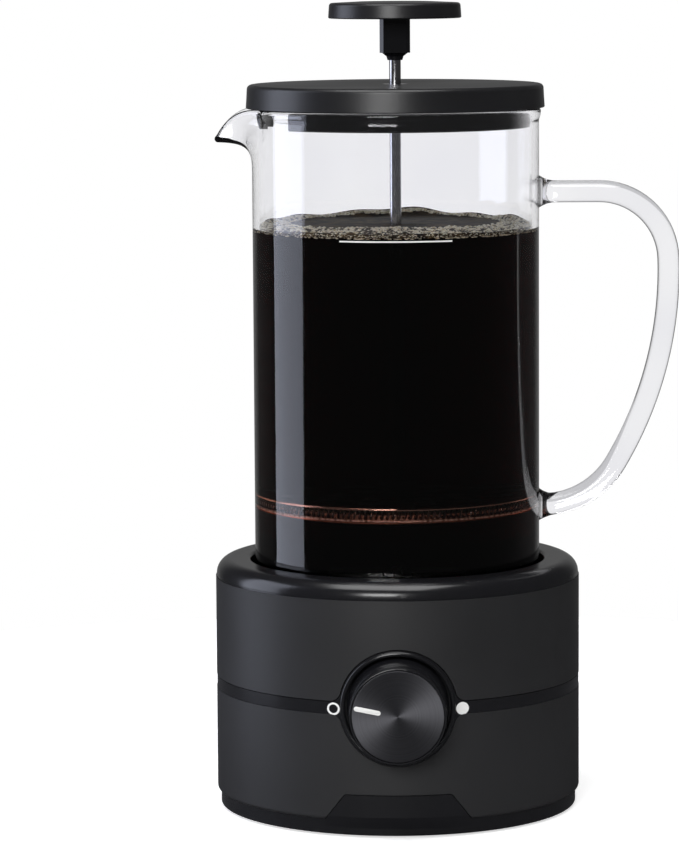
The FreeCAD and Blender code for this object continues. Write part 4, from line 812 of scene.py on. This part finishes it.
def make_large_bubbles(glass, coffee):
    """A few large thin bubbles against the glass in front, and some behind."""
    bm = bmesh.new()
    edge = inner_radius(glass)
    for turn_degrees, radius in LARGE_BUBBLES:
        turn = math.radians(turn_degrees)
        reach = edge - radius
        add_bubble(bm, reach * math.cos(turn), reach * math.sin(turn),
                   coffee.level + 0.7, radius, sides=20, rows=7)
    return bm


# The filter

def make_spring():
    """The filter's edge spring: fine wire wound round a ring."""
    low = cad_size("filter_spring", 0, 2)
    high = cad_size("filter_spring", 1, 2)
    outer = cad_size("filter_spring", 1, 0)
    wire = 0.42
    coil = (high - low) / 2 - wire
    middle = (low + high) / 2
    inset = 1.0
    ring = outer - coil - wire - inset
    turns = 150
    per_turn = 10
    path = []
    for step in range(turns * per_turn):
        around = math.tau * step / (turns * per_turn)
        wound = math.tau * step / per_turn
        reach = ring + coil * math.cos(wound)
        path.append(Vector((reach * math.cos(around), reach * math.sin(around),
                            middle + coil * math.sin(wound))))
    bm = bmesh.new()
    sweep_tube(bm, path, [wire] * len(path), sides=6, closed=True)
    return bm


# Marks

def on_front(x, level, radius):
    """A point on the band's front curve."""
    return (x, -math.sqrt(radius * radius - x * x), level)


def make_marks(dial):
    """Printed ring at the left of the dial and printed spot at its right."""
    radius = -cad_size("trim_band", 0, 0) + INK_THICKNESS
    steps = 40
    bm = bmesh.new()
    for side, inner in ((-1, dial.mark_radius - dial.mark_stroke), (1, 0.0)):
        rings = []
        for reach in (inner, dial.mark_radius):
            rings.append([
                on_front(side * dial.mark_distance + reach * math.cos(math.tau * step / steps),
                         dial.mark_height + reach * math.sin(math.tau * step / steps), radius)
                for step in range(steps)
            ] if reach else [on_front(side * dial.mark_distance, dial.mark_height, radius)])
        skin_rings(bm, rings)
    return bm


def make_pointer(dial):
    """White inlaid bar with round ends on the dial's face."""
    low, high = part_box("dial_face")
    height = (low[2] + high[2]) / 2 / MM
    front = low[1] / MM
    half = dial.pointer_width / 2
    outline = []
    for centre, start in ((-dial.pointer_outer + half, 90), (-dial.pointer_inner - half, -90)):
        outline += rounded((centre, 0.0), half, start, start + 180, 12)
    turn = Matrix.Rotation(-dial.pointer_turn, 2)
    section = ((1.0, 0.02), (1.0, -0.06), (0.9, -0.1))
    bm = bmesh.new()
    rings = []
    for share, depth in section:
        ring = []
        for x, y in outline:
            middle = min(max(x, -dial.pointer_outer + half), -dial.pointer_inner - half)
            spot = turn @ Vector((middle + (x - middle) * share, y * share))
            ring.append((spot.x, front + depth, height + spot.y))
        rings.append(ring)
    rows = skin_rings(bm, rings)
    bm.faces.new(rows[-1])
    return bm


# The stage

def aim_camera(stage):
    """Camera at the photograph's place: in front, a little above, looking slightly down."""
    level = Vector((-math.sin(stage.yaw), math.cos(stage.yaw), 0))
    right = Vector((math.cos(stage.yaw), math.sin(stage.yaw), 0))
    up = Vector((0, 0, 1))
    forward = level * math.cos(stage.pitch) - up * math.sin(stage.pitch)
    above = up * math.cos(stage.pitch) + level * math.sin(stage.pitch)
    side = right * math.cos(stage.roll) + above * math.sin(stage.roll)
    above = above * math.cos(stage.roll) - right * math.sin(stage.roll)
    camera = bpy.data.cameras.new("camera")
    camera.sensor_fit = "VERTICAL"
    camera.sensor_height = 36.0
    camera.lens = stage.lens
    camera.clip_start = 0.05
    camera.clip_end = 30.0
    holder = bpy.data.objects.new("camera", camera)
    turn = Matrix((side, above, -forward)).transposed().to_4x4()
    place = Vector((0, -stage.distance, stage.height)) * MM
    holder.matrix_world = Matrix.Translation(place) @ turn
    bpy.context.scene.collection.objects.link(holder)
    bpy.context.scene.camera = holder


def seen_rays(tree):
    """1 for rays that see the backdrop itself, directly or through glass."""
    rays = add_node(tree, "ShaderNodeLightPath")
    return add_node(tree, "ShaderNodeMath", {
        0: rays.outputs["Is Camera Ray"], 1: rays.outputs["Is Transmission Ray"]},
        operation="MAXIMUM")


def make_world():
    """White backdrop behind the object, falling to a dim room in front of it.

    Y runs away from the camera. Mirrored rays meet the narrow zone, a dim room with a faint
    glow, which keeps the black shells dark. Rays bent by the glass meet the wide zone, and its
    fall to dark draws the edges of the clear glass. The camera itself sees white.
    """
    world = bpy.data.worlds.new("studio")
    bpy.context.scene.world = world
    world.use_nodes = True
    tree = world.node_tree
    rays = add_node(tree, "ShaderNodeLightPath")
    place = add_node(tree, "ShaderNodeTexCoord").outputs["Generated"]
    parts = add_node(tree, "ShaderNodeSeparateXYZ", {"Vector": place})
    narrow = add_node(tree, "ShaderNodeMapRange", {
        "Value": parts.outputs["Y"], "From Min": 0.80, "From Max": 1.0,
        "To Min": 0.05, "To Max": 0.22}, interpolation_type="SMOOTHSTEP")
    wide = add_node(tree, "ShaderNodeMapRange", {
        "Value": parts.outputs["Y"], "From Min": 0.3, "From Max": 0.82,
        "To Min": 0.10, "To Max": 1.0}, interpolation_type="SMOOTHSTEP")
    through = add_node(tree, "ShaderNodeMath", {
        0: wide.outputs["Result"], 1: rays.outputs["Is Transmission Ray"]},
        operation="MULTIPLY")
    mirrored = add_node(tree, "ShaderNodeMath", {
        0: narrow.outputs["Result"], 1: through.outputs["Value"]}, operation="MAXIMUM")
    strength = add_node(tree, "ShaderNodeMath", {
        0: mirrored.outputs["Value"], 1: rays.outputs["Is Camera Ray"]}, operation="MAXIMUM")
    background = tree.nodes["Background"]
    background.inputs["Color"].default_value = (1.0, 1.0, 1.0, 1.0)
    tree.links.new(strength.outputs["Value"], background.inputs["Strength"])


def make_floor(stage):
    """Pale floor that keeps a soft shadow and otherwise runs into the white backdrop.

    Mirrored rays meet a darker paper, so that the black shells stay black down to their foot.
    """
    material, tree, shader, place = new_material("white_sweep_paper", {"Roughness": 0.8})
    fibres = add_node(tree, "ShaderNodeTexNoise", {
        "Vector": place, "Scale": per_mm(4.0), "Detail": 2.0})
    rays = add_node(tree, "ShaderNodeLightPath")
    paper = add_node(tree, "ShaderNodeMix", {
        0: rays.outputs["Is Glossy Ray"],
        6: two_tone(tree, fibres.outputs["Fac"], "F2F2F2", "F8F8F8"), 7: linear("4A4A4C")},
        data_type="RGBA")
    tree.links.new(paper.outputs[2], shader.inputs["Base Color"])
    seen = seen_rays(tree)
    glow = add_node(tree, "ShaderNodeEmission", {
        "Color": (1.0, 1.0, 1.0, 1.0), "Strength": stage.floor_white})
    lit = add_node(tree, "ShaderNodeMixShader", {
        0: seen.outputs["Value"], 2: glow.outputs["Emission"]})
    both = add_node(tree, "ShaderNodeAddShader", {
        0: shader.outputs["BSDF"], 1: lit.outputs["Shader"]})
    output = tree.nodes["Material Output"]
    tree.links.new(both.outputs["Shader"], output.inputs["Surface"])
    bm = bmesh.new()
    lathe(bm, [(0.0, 0.0), (stage.floor_radius * MM, 0.0)])
    mesh = bpy.data.meshes.new("floor")
    bm.to_mesh(mesh)
    bm.free()
    mesh.materials.append(material)
    floor = bpy.data.objects.new("floor", mesh)
    bpy.context.scene.collection.objects.link(floor)


def add_lamp(name, place, target, width, height, power, colour="FFFFFF", mirrored=True):
    """A rectangular softbox that looks at a point. Lengths in metres, power in watts."""
    lamp = bpy.data.lights.new(name, "AREA")
    lamp.color = linear(colour)[:3]
    lamp.shape = "RECTANGLE"
    lamp.size = width
    lamp.size_y = height
    lamp.energy = power
    holder = bpy.data.objects.new(name, lamp)
    aim = (Vector(target) - Vector(place)).to_track_quat("-Z", "Y")
    holder.matrix_world = Matrix.Translation(place) @ aim.to_matrix().to_4x4()
    holder.visible_glossy = mirrored
    holder.visible_transmission = mirrored
    bpy.context.scene.collection.objects.link(holder)


def make_lamps():
    """Tall window-like box at the left, a large one above, and weak ones right and front."""
    add_lamp("left_box", (-1.15, 0.12, 0.42), (0, 0, 0.2), 0.75, 1.1, 7.0, "E6ECFF")
    add_lamp("right_box", (1.3, 0.25, 0.45), (0, 0, 0.2), 0.5, 1.0, 5.0,
             mirrored=False)
    add_lamp("top_box", (-0.1, -0.35, 1.35), (0, 0, 0.15), 1.1, 0.9, 14.0)
    add_lamp("front_box", (-0.35, -1.9, 0.75), (0, 0, 0.15), 0.8, 0.6, 18.0)


# Operators

class BREWER_OT_stage(bpy.types.Operator):
    """Set up the camera, the white studio and its lamps"""
    bl_idname = "brewer.stage"
    bl_label = "Stage"

    def execute(self, context):
        stage = context.scene.brewer_stage
        context.scene.view_settings.view_transform = "Standard"
        aim_camera(stage)
        make_world()
        make_floor(stage)
        make_lamps()
        return {"FINISHED"}


class BREWER_OT_shells(bpy.types.Operator):
    """Finish the base's moulded shells, its foot and the cord's grommet"""
    bl_idname = "brewer.shells"
    bl_label = "Shells"

    def execute(self, context):
        shell = context.scene.brewer_shell
        paint_nodes(satin_abs(shell), "lower_housing", "upper_housing")
        paint_nodes(glossy_abs(shell), "trim_band", "top_cover", "bottom_cover")
        paint_nodes(black_rubber(shell), "foot_ring", "well_cushion", "cord_gland")
        return {"FINISHED"}


class BREWER_OT_dial(bpy.types.Operator):
    """Finish the dial, and add its pointer and the printed marks"""
    bl_idname = "brewer.dial"
    bl_label = "Dial"

    def execute(self, context):
        shell = context.scene.brewer_shell
        dial = context.scene.brewer_dial
        ink = screen_ink(dial)
        paint_nodes(polished_abs(shell), "dial_knob")
        paint_nodes(spun_aluminium(shell), "dial_face")
        finish_piece("dial_marks", make_marks(dial), ink, "base")
        finish_piece("dial_pointer", make_pointer(dial), ink, "dial")
        return {"FINISHED"}


class BREWER_OT_carafe(bpy.types.Operator):
    """Make the blown glass carafe, its handle and the printed fill line"""
    bl_idname = "brewer.carafe"
    bl_label = "Carafe"

    def execute(self, context):
        glass = context.scene.brewer_glass
        coffee = context.scene.brewer_coffee
        clear = borosilicate("blown_borosilicate_glass", glass.tint)
        rod_glass = borosilicate("drawn_borosilicate_rod", glass.rod_tint)
        wetted = borosilicate("wetted_borosilicate_glass", glass.tint, GLASS_IOR / COFFEE_IOR)
        vessel = finish_piece("glass_vessel", make_vessel(glass), clear, "carafe")
        vessel.data.materials.append(wetted)
        wet_faces(vessel, glass, coffee)
        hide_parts("carafe_glass")
        handle = finish_piece(
            "glass_handle", make_handle(glass), rod_glass, "carafe")
        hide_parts("carafe_handle")
        ink = bpy.data.materials["screen_printed_ink"]
        finish_piece("fill_line", make_fill_line(glass, coffee), ink, "carafe")
        return {"FINISHED"}


class BREWER_OT_coffee(bpy.types.Operator):
    """Fill the carafe with coffee and its foam"""
    bl_idname = "brewer.coffee"
    bl_label = "Coffee"

    def execute(self, context):
        glass = context.scene.brewer_glass
        coffee = context.scene.brewer_coffee
        brew = brewed_coffee(coffee, "brewed_coffee", COFFEE_IOR)
        side = brewed_coffee(coffee, "brewed_coffee_on_glass", 1.0)
        foam = coffee_foam(coffee)
        fill = finish_piece("coffee_fill", make_coffee(glass, coffee), brew, "carafe")
        fill.data.materials.append(side)
        for face in fill.data.polygons:
            face.material_index = int(face.center.z < coffee.level * MM)
        film = foam_film()
        finish_piece("foam_film", make_film(glass, coffee), film, "carafe")
        finish_piece("coffee_foam", make_foam(glass, coffee), foam, "carafe")
        finish_piece("large_bubbles", make_large_bubbles(glass, coffee), film, "carafe")
        return {"FINISHED"}


class BREWER_OT_lid(bpy.types.Operator):
    """Finish the lid and the plunger's knob and stem"""
    bl_idname = "brewer.lid"
    bl_label = "Lid"

    def execute(self, context):
        shell = context.scene.brewer_shell
        paint_nodes(satin_polypropylene(shell), "lid_cap", "plunger_knob")
        paint_nodes(bpy.data.materials["polished_moulded_ABS"], "lid_insert", "knob_stem")
        return {"FINISHED"}


class BREWER_OT_filter(bpy.types.Operator):
    """Finish the rod and the filter, and wind the filter's edge spring"""
    bl_idname = "brewer.filter"
    bl_label = "Filter"

    def execute(self, context):
        shell = context.scene.brewer_shell
        # Ground and polished stainless steel: clear reflections, drawn out a little by the lathe
        polished = metal("polished_stainless_steel", "B8B8BC", shell.steel, 0.16, 0.6, 0.002,
                         stretch=(1.0, 1.0, 0.2))
        paint_nodes(polished, "plunger_rod", "rod_bushing", "rod_collar", "spiral_plate",
                    "cross_plate", "filter_hub", "motor_shaft")
        paint_nodes(woven_mesh(shell), "filter_mesh")
        # Hard-drawn wire, darkened by its drawing: a dull grey glint on every coil
        wire = metal("drawn_spring_wire", "4C4C50", "66666A", 0.38, 0.3, 0.002)
        spring = finish_piece("wound_spring", make_spring(), wire, "plunger")
        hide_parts("filter_spring")
        return {"FINISHED"}


class BREWER_OT_works(bpy.types.Operator):
    """Finish the motor, the magnetic drive, the stirrer and the electrics"""
    bl_idname = "brewer.works"
    bl_label = "Works"

    def execute(self, context):
        shell = context.scene.brewer_shell
        # Zinc plating with a clear passivation: cool grey with soft highlights
        zinc = metal("zinc_plated_steel", "86888C", "9FA2A6", 0.3, 0.8, 0.01)
        # Deep-drawn steel: draw marks that run up the can
        can = metal("drawn_steel_can", "9B9B99", "B4B4B2", 0.32, 1.2, 0.01,
                    stretch=(1.0, 1.0, 0.1))
        # Nickel over a sintered magnet: warm and bright, with a faint pebbling
        nickel = metal("nickel_plated_magnet", "B9B6AE", "CFCCC4", 0.2, 1.5, 0.005)
        # Brushed stainless steel: long scratches one way, which spread its highlights
        brushed = metal("brushed_stainless_steel", "A6A6A8", shell.steel, 0.3, 0.4, 0.01,
                        stretch=(0.05, 1.0, 1.0))
        # Unpigmented nylon: a waxy ivory
        natural = moulded("natural_nylon", "CFCBBD", "DEDACD", 0.45, 0.5, 0.01)
        # White polypropylene for food: clean, with a smooth low gloss
        white = moulded("white_food_polypropylene", "E2E2DE", "EFEFEC", 0.35, 0.5, 0.01)
        # Moulded phenolic resin: hard black with an even sheen
        case = moulded("black_phenolic", "17171A", "1F1F22", 0.3, 0.4, 0.01)
        paint_nodes(zinc, "cover_screws", "motor_screws", "bracket_screws", "board_screws",
                    "control_nut")
        paint_nodes(can, "motor")
        paint_nodes(brushed, "motor_bracket", "dial_shaft")
        paint_nodes(natural, "magnet_carrier")
        paint_nodes(nickel, "drive_magnets", "stirrer_magnets")
        paint_nodes(white, "stirrer_rotor")
        paint_nodes(case, "speed_control", "board_parts")
        paint_nodes(circuit_laminate(), "control_board")
        return {"FINISHED"}


class BREWER_PT_panel(bpy.types.Panel):
    """Lists the pieces in the order in which they are made"""
    bl_idname = "BREWER_PT_panel"
    bl_label = "Cold Brew Coffee Maker"
    bl_space_type = "VIEW_3D"
    bl_region_type = "UI"
    bl_category = "Brewer"

    def draw(self, context):
        for operator in OPERATORS:
            self.layout.operator(operator.bl_idname)


GROUPS = {
    "brewer_glass": BrewerGlass,
    "brewer_coffee": BrewerCoffee,
    "brewer_dial": BrewerDial,
    "brewer_shell": BrewerShell,
    "brewer_stage": BrewerStage,
}
OPERATORS = (
    BREWER_OT_stage, BREWER_OT_shells, BREWER_OT_dial, BREWER_OT_carafe, BREWER_OT_coffee,
    BREWER_OT_lid, BREWER_OT_filter, BREWER_OT_works,
)


def register():
    for group in GROUPS.values():
        bpy.utils.register_class(group)
    for operator in OPERATORS:
        bpy.utils.register_class(operator)
    bpy.utils.register_class(BREWER_PT_panel)
    for name, group in GROUPS.items():
        setattr(bpy.types.Scene, name, PointerProperty(type=group))


def unregister():
    for name in GROUPS:
        delattr(bpy.types.Scene, name)
    bpy.utils.unregister_class(BREWER_PT_panel)
    for operator in reversed(OPERATORS):
        bpy.utils.unregister_class(operator)
    for group in reversed(GROUPS.values()):
        bpy.utils.unregister_class(group)


def main():
    register()
    for operator in OPERATORS:
        family, name = operator.bl_idname.split(".")
        getattr(getattr(bpy.ops, family), name)()


if __name__ == "__main__":
    main()
